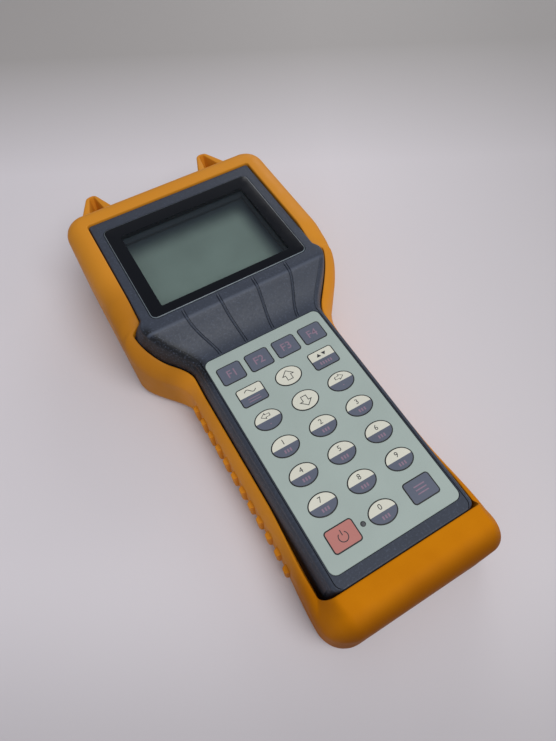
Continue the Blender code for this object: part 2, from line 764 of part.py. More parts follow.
def case_sides(y, inset):
    """Half width of the case below its ledge, drawn in by inset."""
    cut = corner_cut(
        y, along(CASE_TAIL) + inset, along(CASE_HEAD) - inset,
        CASE_TAIL_ROUND - inset, CASE_HEAD_ROUND - inset)
    return case_half(y) - inset - cut


def raised_points(y, inset, half, ledge):
    """The front, its small edge, the flank and the seam line of one case section."""
    head_round = max(FRONT_HEAD_ROUND - inset, FRONT_ROUND_LEAST)
    cut = corner_cut(
        y, along(FRONT_TAIL) + inset, along(FRONT_HEAD) - inset, FRONT_TAIL_ROUND - inset, head_round)
    front = front_half(y) - inset - cut
    height = front_height(y) - inset
    turn = 1.0 if cut > 0 else ease(y, along(SEAM_TURN_START), along(LIP_TURN_START))
    seam = min(lip_half(y) - GAP - inset, case_half(y) - SLIVER - inset) - cut
    seam_height = mix(rim_height(y) + SEAM_RISE - inset, ledge, turn)
    edge = (front + FRONT_EDGE, height - FRONT_EDGE)
    flank = (mix(edge[0], seam, FLANK_OUT_share), mix(edge[1], seam_height, FLANK_DOWN_share))
    last = (max(seam, half - LEDGE_EDGE), ledge)
    if last[1] > seam_height - SLIVER:
        seam_height = last[1] + SLIVER
    return [(front, height), edge, flank, (seam, seam_height), last]


def case_section(y, inset):
    half = case_sides(y, inset)
    ledge = rim_height(y) - LEDGE_DROP - inset
    if along(FRONT_TAIL) + inset <= y <= along(FRONT_HEAD) - inset:
        points = raised_points(y, inset, half, ledge)
    else:
        points = [(half * step / (FILLET_STEPS + 1), ledge) for step in range(1, FILLET_STEPS + 1)]
        points.append((half - LEDGE_EDGE, ledge))
    floor = CASE_FLOOR + inset
    points += [(half, ledge - LEDGE_EDGE), (half, floor + CASE_CHAMFER), (half - CASE_CHAMFER, floor)]
    right = [(x, y, z) for x, z in points]
    return right + [(-x, y, z) for x, y, z in reversed(right)]


def case_stations(inset):
    """Every y at which the case has a section."""
    tail, head = along(CASE_TAIL) + inset, along(CASE_HEAD) - inset
    front_tail, front_head = along(FRONT_TAIL) + inset, along(FRONT_HEAD) - inset
    head_round = max(FRONT_HEAD_ROUND - inset, FRONT_ROUND_LEAST)
    places = {front_tail - FRONT_STEP, front_head + FRONT_STEP}
    for step in range(ARC_STEPS + 1):
        bend = 1 - math.cos(math.pi / 2 * step / ARC_STEPS)
        places.add(tail + (CASE_TAIL_ROUND - inset) * bend)
        places.add(head - (CASE_HEAD_ROUND - inset) * bend)
        places.add(front_tail + (FRONT_TAIL_ROUND - inset) * bend)
        places.add(front_head - head_round * bend)
    ordered = sorted(places.union(side_places()))
    return [y for y, after in zip(ordered, ordered[1:] + [math.inf]) if after - y > SLIVER]


def case_shape(inset):
    shape = bmesh.new()
    loft(shape, [case_section(y, inset) for y in case_stations(inset)], closed=False)
    return shape


def groove_shape():
    """Four shallow grooves that fan out up the ramp."""
    shape = bmesh.new()
    for top_share in (-GROOVE_OUTER_share, -GROOVE_INNER_share, GROOVE_INNER_share, GROOVE_OUTER_share):
        top = WINDOW_HALF * top_share
        sections = []
        for share in [step / GROOVE_STEPS for step in range(GROOVE_STEPS + 1)]:
            y = mix(along(GROOVE_FOOT), along(GROOVE_TOP), share)
            bend = ease(y, along(GROOVE_BEND_START), along(GROOVE_BEND_END))
            x = top * mix(GROOVE_FOOT_share, 1.0, bend)
            low = front_height(y) - GROOVE_DEPTH
            half = GROOVE_WIDTH / 2
            high = low + REACH / 4
            sections.append([(x - half, y, low), (x + half, y, low), (x + half, y, high), (x - half, y, high)])
        loft(shape, sections, closed=False)
    return shape


def screw_places():
    head = [(side * HEAD_SCREW_X, along(HEAD_SCREW_Y)) for side in (-1, 1)]
    tail = [(side * TAIL_SCREW_X, along(TAIL_SCREW_Y)) for side in (-1, 1)]
    return head + tail


def front_inside_shape():
    """What stands inside the front half: screw bosses, window seat and display collar."""
    shape = bmesh.new()
    for x, y in screw_places():
        top = rim_height(y) - LEDGE_DROP - CASE_WALL / 2
        add_rod(shape, (x, y, FRONT_BOTTOM - OVERLAP), (x, y, top), BOSS_RADIUS_FRONT, SMALL_STEPS)
    seat_top = HEAD_FRONT - CASE_WALL / 2
    seat_low = WINDOW_TOP - WINDOW_THICKNESS - GAP - WINDOW_SEAT
    reach = WINDOW_HALF + WINDOW_SEAT_MARGIN
    add_box(
        shape, (-reach, along(WINDOW_TAIL) - WINDOW_SEAT_MARGIN, seat_low),
        (reach, along(WINDOW_HEAD) + WINDOW_SEAT_MARGIN, seat_top))
    return shape


def collar_shape():
    """The dark well wall between the window and the display."""
    wall = VIEW_HALF + COLLAR_WALL
    low = BEZEL_TOP + GAP
    high = WINDOW_TOP - WINDOW_THICKNESS - WINDOW_SEAT
    return box(
        (-wall, along(VIEW_TAIL) - COLLAR_WALL, low), (wall, along(VIEW_HEAD) + COLLAR_WALL, high))


def window_loop(margin):
    return rounded_box(
        WINDOW_HALF + margin, along(WINDOW_TAIL) - margin, along(WINDOW_HEAD) + margin,
        WINDOW_ROUND + margin)


def label_loop(margin):
    return rounded_box(
        LABEL_HALF + margin, along(LABEL_TAIL) - margin, along(LABEL_HEAD) + margin,
        LABEL_ROUND + margin)


def front_cut_shape():
    """Openings of the front half that don't touch each other."""
    shape = bmesh.new()
    add_plate(shape, window_loop(GAP), WINDOW_TOP - WINDOW_THICKNESS - GAP, WINDOW_TOP + REACH)
    add_plate(
        shape, label_loop(GAP), LABEL_HEIGHT + LABEL_PROUD - LABEL_THICKNESS - GAP,
        LABEL_HEIGHT + REACH / 4)
    for x, y in screw_places():
        radius = SCREW_SHANK_RADIUS + GAP
        add_rod(shape, (x, y, FRONT_BOTTOM - OVERLAP), (x, y, SCREW_TOP + GAP), radius, SMALL_STEPS)
    for x, radius in ((0.0, THREAD_RADIUS), (JACK_X, JACK_BARREL_RADIUS)):
        start = (x, along(END_INSIDE) - OVERLAP, SOCKET_HEIGHT)
        end = (x, along(CASE_HEAD) + OVERLAP, SOCKET_HEIGHT)
        add_rod(shape, start, end, radius + GAP, ROUND_STEPS, along_y=True)
    return shape


def view_shape():
    low = BEZEL_TOP - OVERLAP
    return box(
        (-VIEW_HALF, along(VIEW_TAIL), low), (VIEW_HALF, along(VIEW_HEAD), WINDOW_TOP + OVERLAP))


def row_pitch():
    return (along(LABEL_HEAD) - SOFT_ROW_SET - along(LABEL_TAIL) - LAST_ROW_SET) / (KEY_ROWS - 1)


def key_list():
    """Name, middle, outline kind and colour of every key."""
    pitch = row_pitch()
    rows = [along(LABEL_HEAD) - SOFT_ROW_SET - row * pitch for row in range(KEY_ROWS)]
    keys = []
    for index in range(SOFT_KEYS):
        x = (index - (SOFT_KEYS - 1) / 2) * SOFT_KEY_PITCH
        keys.append((f"key_f{index + 1}", x, rows[0], "soft", "key_slate"))
    names = (
        ("key_mhz", "key_up", "key_channel"),
        ("key_left", "key_down", "key_right"),
        ("key_1", "key_2", "key_3"),
        ("key_4", "key_5", "key_6"),
        ("key_7", "key_8", "key_9"),
        ("key_power", "key_0", "key_menu"),
    )
    flat = ("key_mhz", "key_channel", "key_power", "key_menu")
    tones = {"key_power": "salmon", "key_menu": "key_slate"}
    for row, y in zip(names, rows[1:]):
        for column, name in enumerate(row):
            kind = "flat" if name in flat else "oval"
            x = (column - 1) * KEY_COLUMN_PITCH
            keys.append((name, x, y, kind, tones.get(name, "cream")))
    return keys


def key_loop(kind, margin):
    length, width = KEY_COLUMN_PITCH * KEY_LENGTH_share, row_pitch() * KEY_WIDTH_share
    if kind == "oval":
        return oval(length + 2 * margin, width + 2 * margin)
    if kind == "soft":
        length, width = SOFT_KEY_PITCH * SOFT_KEY_LENGTH_share, row_pitch() * SOFT_KEY_WIDTH_share
    return rounded_box(length / 2 + margin, -width / 2 - margin, width / 2 + margin,
                       KEY_ROUND + margin, CORNER_STEPS)


def key_hole_shape(low, high):
    shape = bmesh.new()
    for _, x, y, kind, _ in key_list():
        loop = [(x + point[0], y + point[1]) for point in key_loop(kind, GAP)]
        add_plate(shape, loop, low, high)
    led_y = key_list()[-1][2]
    add_rod(shape, (LED_X, led_y, low), (LED_X, led_y, high), LED_RADIUS + GAP, SMALL_STEPS)
    return shape


def make_front_case():
    item = piece("front_case", case_shape(0.0), "slate", 0.45)
    boolean(item, "front_hollow", case_shape(CASE_WALL), "DIFFERENCE")
    boolean(item, "front_inside", front_inside_shape(), "UNION")
    boolean(item, "front_collar", collar_shape(), "UNION")
    lower = box(
        (-HEAD_OUTER_HALF, TAIL_Y, -REACH), (HEAD_OUTER_HALF, HEAD_Y, FRONT_BOTTOM))
    boolean(item, "front_lower", lower, "DIFFERENCE")
    boolean(item, "front_grooves", groove_shape(), "DIFFERENCE")
    boolean(item, "front_cuts", front_cut_shape(), "DIFFERENCE")
    boolean(item, "front_view", view_shape(), "DIFFERENCE")
    holes = key_hole_shape(WALL_INSIDE - OVERLAP, LABEL_HEIGHT + OVERLAP)
    boolean(item, "front_key_holes", holes, "DIFFERENCE")


def back_inside_shape():
    """What stands inside the back half: the cell tray and the cover's screw boss."""
    shape = bmesh.new()
    reach = TRAY_HALF + TRAY_WALL
    add_box(
        shape, (-reach, along(TRAY_TAIL) - TRAY_WALL, CASE_FLOOR + OVERLAP),
        (reach, along(TRAY_HEAD) + TRAY_WALL, TRAY_ROOF + TRAY_WALL))
    return shape


def back_boss_shape():
    shape = bmesh.new()
    for x, y in screw_places():
        add_rod(shape, (x, y, CASE_FLOOR + OVERLAP), (x, y, BACK_TOP), BOSS_RADIUS_BACK, SMALL_STEPS)
    y = along(COVER_BOSS_Y)
    low = CASE_FLOOR + OVERLAP
    add_rod(shape, (0.0, y, low), (0.0, y, COVER_BOSS_TOP), COVER_BOSS_RADIUS, SMALL_STEPS)
    return shape


def back_cut_shape():
    """Screw holes with their counterbores."""
    shape = bmesh.new()
    for x, y in screw_places():
        seat = CASE_FLOOR + SCREW_SET_BACK + SCREW_HEAD_HEIGHT + GAP
        radius = SCREW_HEAD_RADIUS + GAP
        inner = SCREW_SHANK_RADIUS + GAP
        loft_counterbore(shape, x, y, seat, radius, inner)
    return shape


def loft_counterbore(shape, x, y, seat, radius, inner):
    """A stepped round cutter: wide up to the seat, narrow above it."""
    stack = ((radius, CASE_FLOOR - OVERLAP), (radius, seat), (inner, seat), (inner, BACK_TOP + OVERLAP))
    rings = []
    for size, height in stack:
        turns = [2 * math.pi * step / SMALL_STEPS for step in range(SMALL_STEPS)]
        rings.append([(x + size * math.cos(t), y + size * math.sin(t), height) for t in turns])
    loft(shape, rings, closed=False)


def make_back_case():
    item = piece("back_case", case_shape(0.0), "slate", 0.5)
    boolean(item, "back_hollow", case_shape(CASE_WALL), "DIFFERENCE")
    upper = box((-HEAD_OUTER_HALF, TAIL_Y, BACK_TOP), (HEAD_OUTER_HALF, HEAD_Y, HEAD_RIM + REACH))
    boolean(item, "back_upper", upper, "DIFFERENCE")
    boolean(item, "back_tray", back_inside_shape(), "UNION")
    boolean(item, "back_bosses", back_boss_shape(), "UNION")
    tray = box(
        (-TRAY_HALF, along(TRAY_TAIL), CASE_FLOOR - OVERLAP), (TRAY_HALF, along(TRAY_HEAD), TRAY_ROOF))
    boolean(item, "back_tray_room", tray, "DIFFERENCE")
    cover_room = box(
        (-TRAY_HALF, along(TRAY_TAIL) + OVERLAP, CASE_FLOOR - OVERLAP),
        (TRAY_HALF, along(COVER_HEAD) + GAP, CASE_FLOOR + CASE_WALL + GAP))
    boolean(item, "back_cover_room", cover_room, "DIFFERENCE")
    boolean(item, "back_screw_holes", back_cut_shape(), "DIFFERENCE")
    bore = bmesh.new()
    y = along(COVER_BOSS_Y)
    top = COVER_SCREW_TOP + GAP
    add_rod(bore, (0.0, y, CASE_FLOOR), (0.0, y, top), SCREW_SHANK_RADIUS + GAP, SMALL_STEPS)
    boolean(item, "back_cover_bore", bore, "DIFFERENCE")


def make_battery_cover():
    low, high = (-TRAY_HALF + GAP, along(TRAY_TAIL) + GAP), (TRAY_HALF - GAP, along(COVER_HEAD))
    shape = box((*low, CASE_FLOOR), (*high, CASE_FLOOR + CASE_WALL))
    item = piece("battery_cover", shape, "slate", 0.5)
    y = along(COVER_BOSS_Y)
    seat = CASE_FLOOR + COVER_SCREW_HEAD_HEIGHT + GAP
    top = CASE_FLOOR + CASE_WALL + OVERLAP
    hole = bmesh.new()
    stack = (
        (SCREW_HEAD_RADIUS + GAP, CASE_FLOOR - OVERLAP), (SCREW_HEAD_RADIUS + GAP, seat),
        (SCREW_SHANK_RADIUS + GAP, seat), (SCREW_SHANK_RADIUS + GAP, top))
    turns = [2 * math.pi * step / SMALL_STEPS for step in range(SMALL_STEPS)]
    rings = [[(r * math.cos(t), y + r * math.sin(t), z) for t in turns] for r, z in stack]
    loft(hole, rings, closed=False)
    boolean(item, "cover_screw_hole", hole, "DIFFERENCE")


def screw_shape(head_height, length):
    """A pan screw standing on its head, with a round drive recess in the head."""
    profile = (
        (0.0, DRIVE_DEPTH), (DRIVE_RADIUS, DRIVE_DEPTH), (DRIVE_RADIUS, 0.0),
        (SCREW_HEAD_RADIUS, 0.0), (SCREW_HEAD_RADIUS, head_height),
        (SCREW_SHANK_RADIUS, head_height), (SCREW_SHANK_RADIUS, length), (0.0, length))
    return turned(profile, SMALL_STEPS)


def make_screws():
    low = CASE_FLOOR + SCREW_SET_BACK
    for index, (x, y) in enumerate(screw_places()):
        shape = screw_shape(SCREW_HEAD_HEIGHT, SCREW_TOP - low)
        piece(f"case_screw_{index + 1}", shape, "metal", 0.35, 1.0, (x, y, low))
    shape = screw_shape(COVER_SCREW_HEAD_HEIGHT, COVER_SCREW_TOP - CASE_FLOOR)
    piece("battery_cover_screw", shape, "metal", 0.35, 1.0, (0.0, along(COVER_BOSS_Y), CASE_FLOOR))


def gasket_loop(inset):
    ends = CASE_TAIL_ROUND - inset, CASE_HEAD_ROUND - inset
    half = half_outline(
        lambda y: case_half(y) - inset, along(CASE_TAIL) + inset, along(CASE_HEAD) - inset, *ends)
    return [tuple(point) for point in half] + [(-x, y) for x, y in reversed(half[1:-1])]


def make_gasket():
    outer, inner = gasket_loop(GAP), gasket_loop(CASE_WALL - GAP)
    low, high = BACK_TOP + GAP, FRONT_BOTTOM - GAP
    sections = [[(*out, low), (*out, high), (*into, high), (*into, low)] for out, into in zip(outer, inner)]
    shape = bmesh.new()
    loft(shape, sections, closed=True)
    piece("case_gasket", shape, "seal", 0.8)


def make_window():
    shape = plate(window_loop(0.0), WINDOW_TOP - WINDOW_THICKNESS, WINDOW_TOP)
    piece("lcd_window", shape, "clear", 0.1)


def display_box(margin, low, high):
    return box(
        (-VIEW_HALF - margin, along(VIEW_TAIL) - margin, low),
        (VIEW_HALF + margin, along(VIEW_HEAD) + margin, high))


def make_display():
    skirt = BEZEL_TOP - BEZEL_SKIRT
    bezel = piece("lcd_bezel", display_box(BEZEL_MARGIN, skirt, BEZEL_TOP), "black", 0.4, 0.0)
    inside = display_box(BEZEL_MARGIN - BEZEL_SHEET, skirt - OVERLAP, BEZEL_TOP - BEZEL_SHEET)
    boolean(bezel, "bezel_room", inside, "DIFFERENCE")
    boolean(bezel, "bezel_view", display_box(-GAP, skirt, BEZEL_TOP + OVERLAP), "DIFFERENCE")
    margin = BEZEL_MARGIN - BEZEL_SHEET - GAP
    top = BEZEL_TOP - BEZEL_SHEET - GAP
    glass_low = top - GLASS_THICKNESS
    piece("lcd_glass", display_box(margin, glass_low, top), "display", 0.25)
    light_top = glass_low - GAP
    light_low = light_top - BACKLIGHT_THICKNESS
    piece("lcd_backlight", display_box(margin, light_low, light_top), "white", 0.4)
    board_top = min(light_low, skirt) - GAP
    shape = display_box(LCD_BOARD_MARGIN, board_top - LCD_BOARD_THICKNESS, board_top)
    piece("lcd_board", shape, "board", 0.5)
    return board_top - LCD_BOARD_THICKNESS


def make_flex(top):
    low = (-FLEX_WIDTH / 2, along(FLEX_Y), BOARD_TOP + GAP)
    high = (FLEX_WIDTH / 2, along(FLEX_Y) + FLEX_THICKNESS, top - GAP)
    piece("lcd_flex", box(low, high), "amber", 0.4)


def make_keypad():
    low = LABEL_HEIGHT + LABEL_PROUD - LABEL_THICKNESS
    item = piece("keypad_label", plate(label_loop(0.0), low, LABEL_HEIGHT + LABEL_PROUD), "label", 0.5)
    holes = key_hole_shape(low - OVERLAP, LABEL_HEIGHT + OVERLAP)
    boolean(item, "label_holes", holes, "DIFFERENCE")
    for name, x, y, kind, colour in key_list():
        piece(name, key_shape(kind), colour, 0.5, 0.0, (x, y, LABEL_HEIGHT))
    rows = [key[2] for key in key_list()]
    loop = rounded_box(SHEET_HALF, min(rows) - SHEET_MARGIN, max(rows) + SHEET_MARGIN, LABEL_ROUND, 2)
    sheet = piece("key_dome_sheet", plate(loop, SHEET_TOP - SHEET_THICKNESS, SHEET_TOP), "white", 0.6)
    hole = bmesh.new()
    start = (LED_X, min(rows), SHEET_TOP - SHEET_THICKNESS - OVERLAP)
    add_rod(hole, start, (LED_X, min(rows), SHEET_TOP + OVERLAP), LED_RADIUS + GAP, SMALL_STEPS)
    boolean(sheet, "sheet_led_hole", hole, "DIFFERENCE")
    make_led(min(rows))


def key_shape(kind):
    """A key with a flange that the front wall holds in; heights are from the label plane."""
    flange_top = WALL_INSIDE - GAP
    stack = (
        (KEY_FLANGE, KEY_FLANGE_BOTTOM), (KEY_FLANGE, flange_top), (0.0, flange_top),
        (0.0, KEY_TOP - KEY_BEVEL), (-KEY_BEVEL, KEY_TOP))
    rings = []
    for margin, height in stack:
        rings.append([(x, y, height - LABEL_HEIGHT) for x, y in key_loop(kind, margin)])
    shape = bmesh.new()
    loft(shape, rings, closed=False)
    return shape


def make_led(y):
    low = BOARD_TOP + GAP
    body = LED_TOP - LED_RADIUS / 2
    profile = [(0.0, low), (LED_RADIUS, low), (LED_RADIUS, body), (LED_RADIUS / 2, LED_TOP), (0.0, LED_TOP)]
    shape = turned([(radius, height - low) for radius, height in profile], SMALL_STEPS)
    piece("power_led", shape, "black", 0.3, 0.0, (LED_X, y, low))


def make_boards():
    grip, head = BOARD_GRIP_HALF, BOARD_HEAD_HALF
    tail_y, step_y, head_y = along(BOARD_TAIL), along(BOARD_STEP), along(BOARD_HEAD)
    right = [(grip, tail_y), (grip, step_y), (head, step_y), (head, head_y)]
    loop = right + [(-x, y) for x, y in reversed(right)]
    piece("main_board", plate(loop, BOARD_UNDER, BOARD_TOP), "board", 0.5)
    half, middle = CHIP_SIZE / 2, along(CHIP_Y)
    low = BOARD_TOP + GAP
    shape = box((-half, middle - half, low), (half, middle + half, low + CHIP_THICKNESS))
    piece("main_chip", shape, "black", 0.4)
    high = BOARD_UNDER - GAP
    shape = box(
        (TUNER_X - TUNER_WIDTH / 2, head_y - TUNER_LENGTH, high - TUNER_HEIGHT),
        (TUNER_X + TUNER_WIDTH / 2, head_y, high))
    piece("rf_tuner_can", shape, "metal", 0.35, 0.9)
    shape = bmesh.new()
    add_rod(shape, (0.0, 0.0, -BUZZER_HEIGHT), (0.0, 0.0, 0.0), BUZZER_RADIUS, ROUND_STEPS)
    piece("buzzer", shape, "black", 0.5, 0.0, (BUZZER_X, along(BUZZER_Y), high))


def make_input_socket():
    """The coaxial input: body with a back flange, washer, nut, insulator and centre contact."""
    flange_high = along(END_INSIDE) - GAP
    place = (0.0, flange_high - BODY_FLANGE_THICKNESS, SOCKET_HEIGHT)
    outside = along(CASE_HEAD) - place[1]
    length = outside + THREAD_LENGTH
    profile = (
        (BODY_BORE_RADIUS, 0.0), (BODY_FLANGE_RADIUS, 0.0),
        (BODY_FLANGE_RADIUS, BODY_FLANGE_THICKNESS), (THREAD_RADIUS, BODY_FLANGE_THICKNESS),
        (THREAD_RADIUS, length), (BODY_BORE_RADIUS, length))
    piece("input_body", turned(profile, ROUND_STEPS, along_y=True), "nickel", 0.3, 1.0, place)
    washer = outside + GAP
    ring = ring_profile(THREAD_RADIUS + GAP, WASHER_RADIUS, washer, WASHER_THICKNESS)
    piece("input_washer", turned(ring, ROUND_STEPS, along_y=True), "nickel", 0.35, 1.0, place)
    nut = washer + WASHER_THICKNESS + GAP
    shape = bmesh.new()
    start = Vector(place) + Vector((0.0, nut, 0.0))
    end = start + Vector((0.0, NUT_THICKNESS, 0.0))
    add_rod(shape, start, end, NUT_RADIUS, NUT_SIDES, along_y=True)
    item = piece("input_nut", shape, "nickel", 0.35, 1.0)
    bore = bmesh.new()
    spare = Vector((0.0, OVERLAP, 0.0))
    add_rod(bore, start - spare, end + spare, THREAD_RADIUS + GAP, ROUND_STEPS, along_y=True)
    boolean(item, "nut_bore", bore, "DIFFERENCE")
    set_back = length - CONTACT_SET_BACK
    ring = ring_profile(CONTACT_RADIUS + GAP, BODY_BORE_RADIUS - GAP, 0.0, set_back)
    piece("input_insulator", turned(ring, SMALL_STEPS, along_y=True), "white", 0.5, 0.0, place)
    shape = bmesh.new()
    start = Vector(place)
    end = start + Vector((0.0, set_back - CONTACT_SET_BACK, 0.0))
    add_rod(shape, start, end, CONTACT_RADIUS, SMALL_STEPS, along_y=True)
    piece("input_contact", shape, "nickel", 0.3, 1.0)


def ring_profile(inner, outer, low, thickness):
    return ((inner, low), (outer, low), (outer, low + thickness), (inner, low + thickness))


def make_jack():
    """The charging socket: a block behind the end wall with a barrel through it."""
    high = along(END_INSIDE) - GAP
    half = JACK_WIDTH / 2
    shape = box(
        (JACK_X - half, high - JACK_LENGTH, SOCKET_HEIGHT - half), (JACK_X + half, high, SOCKET_HEIGHT + half))
    item = piece("charging_jack", shape, "black", 0.45)
    barrel = bmesh.new()
    front = along(CASE_HEAD)
    start = (JACK_X, high - OVERLAP, SOCKET_HEIGHT)
    add_rod(barrel, start, (JACK_X, front, SOCKET_HEIGHT), JACK_BARREL_RADIUS, ROUND_STEPS, along_y=True)
    boolean(item, "jack_barrel", barrel, "UNION")
    ring = ring_profile(JACK_PIN_RADIUS, JACK_BORE_RADIUS, -JACK_BORE_DEPTH, JACK_BORE_DEPTH + OVERLAP)
    bore = turned(ring, SMALL_STEPS, (JACK_X, front, SOCKET_HEIGHT), along_y=True)
    boolean(item, "jack_bore", bore, "DIFFERENCE")


def make_cells():
    """Six round cells, three side by side and two in a line, and their contact strips."""
    pitch = (along(TRAY_HEAD) - CELLS_SET - along(CELLS_TAIL)) / CELL_ROWS
    full = pitch - GAP
    length = full - CELL_BUTTON_LENGTH
    profile = (
        (0.0, 0.0), (CELL_RADIUS, 0.0), (CELL_RADIUS, length - CELL_BUTTON_EDGE),
        (CELL_RADIUS - CELL_BUTTON_EDGE, length), (CELL_BUTTON_RADIUS, length),
        (CELL_BUTTON_RADIUS, full), (0.0, full))
    for index in range(CELL_COLUMNS * CELL_ROWS):
        row, column = divmod(index, CELL_COLUMNS)
        x = (column - (CELL_COLUMNS - 1) / 2) * CELL_PITCH
        place = (x, along(CELLS_TAIL) + row * pitch, CELL_HEIGHT)
        shape = turned(profile, SMALL_STEPS, along_y=True)
        piece(f"battery_cell_{index + 1}", shape, "cell", 0.4, 0.3, place)
    ends = along(CELLS_TAIL) - GAP - CONTACT_THICKNESS, along(CELLS_TAIL) + CELL_ROWS * pitch
    for name, y in zip(("battery_contact_tail", "battery_contact_head"), ends):
        low = (-CONTACT_HALF, y, CELL_HEIGHT - CONTACT_HEIGHT / 2)
        high = (CONTACT_HALF, y + CONTACT_THICKNESS, CELL_HEIGHT + CONTACT_HEIGHT / 2)
        piece(name, box(low, high), "metal", 0.35, 1.0)


clear_scene()
PARTS = collection("cable_tv_signal_level_meter")
CUTTERS = collection("cutters")
make_holster()
make_front_case()
make_back_case()
make_battery_cover()
make_screws()
make_gasket()
make_window()
make_flex(make_display())
make_keypad()
make_boards()
make_input_socket()
make_jack()
make_cells()
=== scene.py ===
"""The looks of a hand-held cable TV signal level meter in its rubber holster."""
import math

import bmesh
import bpy
import numpy as np
from mathutils import Matrix, Vector


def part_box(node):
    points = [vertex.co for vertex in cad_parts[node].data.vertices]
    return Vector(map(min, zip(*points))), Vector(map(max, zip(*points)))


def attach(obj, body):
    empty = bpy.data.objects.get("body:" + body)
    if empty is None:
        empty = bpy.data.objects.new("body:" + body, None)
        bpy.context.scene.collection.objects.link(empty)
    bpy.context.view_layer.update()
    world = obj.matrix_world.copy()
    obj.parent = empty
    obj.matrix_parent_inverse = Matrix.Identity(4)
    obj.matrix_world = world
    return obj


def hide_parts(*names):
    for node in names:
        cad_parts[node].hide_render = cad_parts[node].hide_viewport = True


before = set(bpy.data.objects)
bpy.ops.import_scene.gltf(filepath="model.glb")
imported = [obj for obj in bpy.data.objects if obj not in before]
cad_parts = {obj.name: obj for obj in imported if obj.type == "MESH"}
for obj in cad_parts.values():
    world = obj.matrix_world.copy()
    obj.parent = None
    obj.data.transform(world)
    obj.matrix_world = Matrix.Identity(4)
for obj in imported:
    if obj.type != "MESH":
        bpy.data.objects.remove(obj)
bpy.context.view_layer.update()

bl_info = {
    "name": "Signal Level Meter",
    "version": (1, 0, 0),
    "blender": (4, 5, 0),
    "location": "View3D > Sidebar > Level Meter",
    "description": "Dresses a hand-held signal level meter, its holster, keys and display",
    "category": "Object",
}

MM = 0.001

# Ends and edges that come from the frame
HOLSTER_LOW, HOLSTER_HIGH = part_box("holster")
CASE_LOW, CASE_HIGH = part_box("front_case")
WINDOW_LOW, WINDOW_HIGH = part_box("lcd_window")
LABEL_LOW, LABEL_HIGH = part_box("keypad_label")
COVER_LOW, COVER_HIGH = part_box("battery_cover")
INPUT_LOW, INPUT_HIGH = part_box("input_body")
NUT_LOW, NUT_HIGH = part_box("input_nut")
LED_LOW, LED_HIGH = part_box("power_led")
BEZEL_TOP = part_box("lcd_bezel")[1].z
BODY_LENGTH = 234.0 * MM
TAIL_Y = HOLSTER_LOW.y
HEAD_Y = TAIL_Y + BODY_LENGTH
EAR_TIP_Y = HOLSTER_HIGH.y
RIM_TOP = HOLSTER_HIGH.z
FRONT_TOP = CASE_HIGH.z
LABEL_PLANE = LABEL_HIGH.z - 0.1 * MM
HEAD_HALF = HOLSTER_HIGH.x
LABEL_HALF = LABEL_HIGH.x
WINDOW_HALF = WINDOW_HIGH.x
SOCKET_HEIGHT = (INPUT_LOW.z + INPUT_HIGH.z) / 2

# The joint between neighbours, and the walls of the mouldings
GAP = 0.3 * MM
CASE_WALL = 2.2 * MM
LIP_THICKNESS = 3.0 * MM
LEDGE_DROP = LIP_THICKNESS + 2 * GAP
SEAM_STEP = 0.6 * MM
TINY = 0.1 * MM

# Widths of the grip and the head, from the middle
GRIP_WALL_HALF = 38.8 * MM
CASE_GRIP_HALF = 34.2 * MM
CASE_HEAD_HALF = 50.0 * MM
FRONT_GRIP_HALF = 30.6 * MM
FRONT_HEAD_HALF = 44.2 * MM
FRONT_SHOULDER = 1.6 * MM
LIP_HEAD_HALF = 45.2 * MM
BUMPER_PROUD = 2.0 * MM
BACK_LIP = 8.0 * MM

# Corners in plan, at the tail and at the head
HOLSTER_ROUNDS = 12.0 * MM, 11.0 * MM
CASE_ROUNDS = 9.5 * MM, 6.0 * MM
BACK_ROUND = 6.0 * MM
LIP_TAIL_ROUND = 4.5 * MM
FRONT_TAIL_ROUND = 3.5 * MM
FRONT_HEAD_ROUND = 1.4 * MM
PANEL_ROUND = 3.0 * MM
ARC_POINTS = 15

# The edges of the holster, and how far its opening stands away from the grip near the tail
FOOT_ROUND = 5.0 * MM
EDGE_ROUND = 9.0 * MM
EDGE_FALL = 9.0 * MM
GRIP_EDGE_FALL = 7.4 * MM
GRIP_FULLNESS = 0.35
LIP_EDGE = 0.6 * MM
LIP_FLARE = 1.7 * MM
LIP_FLARE_DEPTH = 9.0 * MM
CAVITY_FLOOR = 3.0 * MM

# Heights of the holster's rim: the grip, the tail, and the rise of the neck and of the head
GRIP_RIM = LABEL_PLANE - 10.0 * MM
TAIL_RIM = LABEL_PLANE + 0.7 * MM
NECK_RISE, HEAD_RISE = 2.4 * MM, 3.3 * MM

# The grip ribs: rows up the wall, where the rounding at the foot ends and the one at the top starts
RIB_ROWS = np.array([5.2, 5.4, 5.8, 6.4, 8.0, 10.5, 13.0, 14.6, 15.4, 15.7, 15.9, 16.03, 16.1]) * MM
RIB_FULL = 6.2 * MM, 15.4 * MM
RIB_ROUNDS = 1.0 * MM, 0.7 * MM
RIB_END_ROUND = 1.0 * MM
RIB_FOOT_TAPER = 0.6

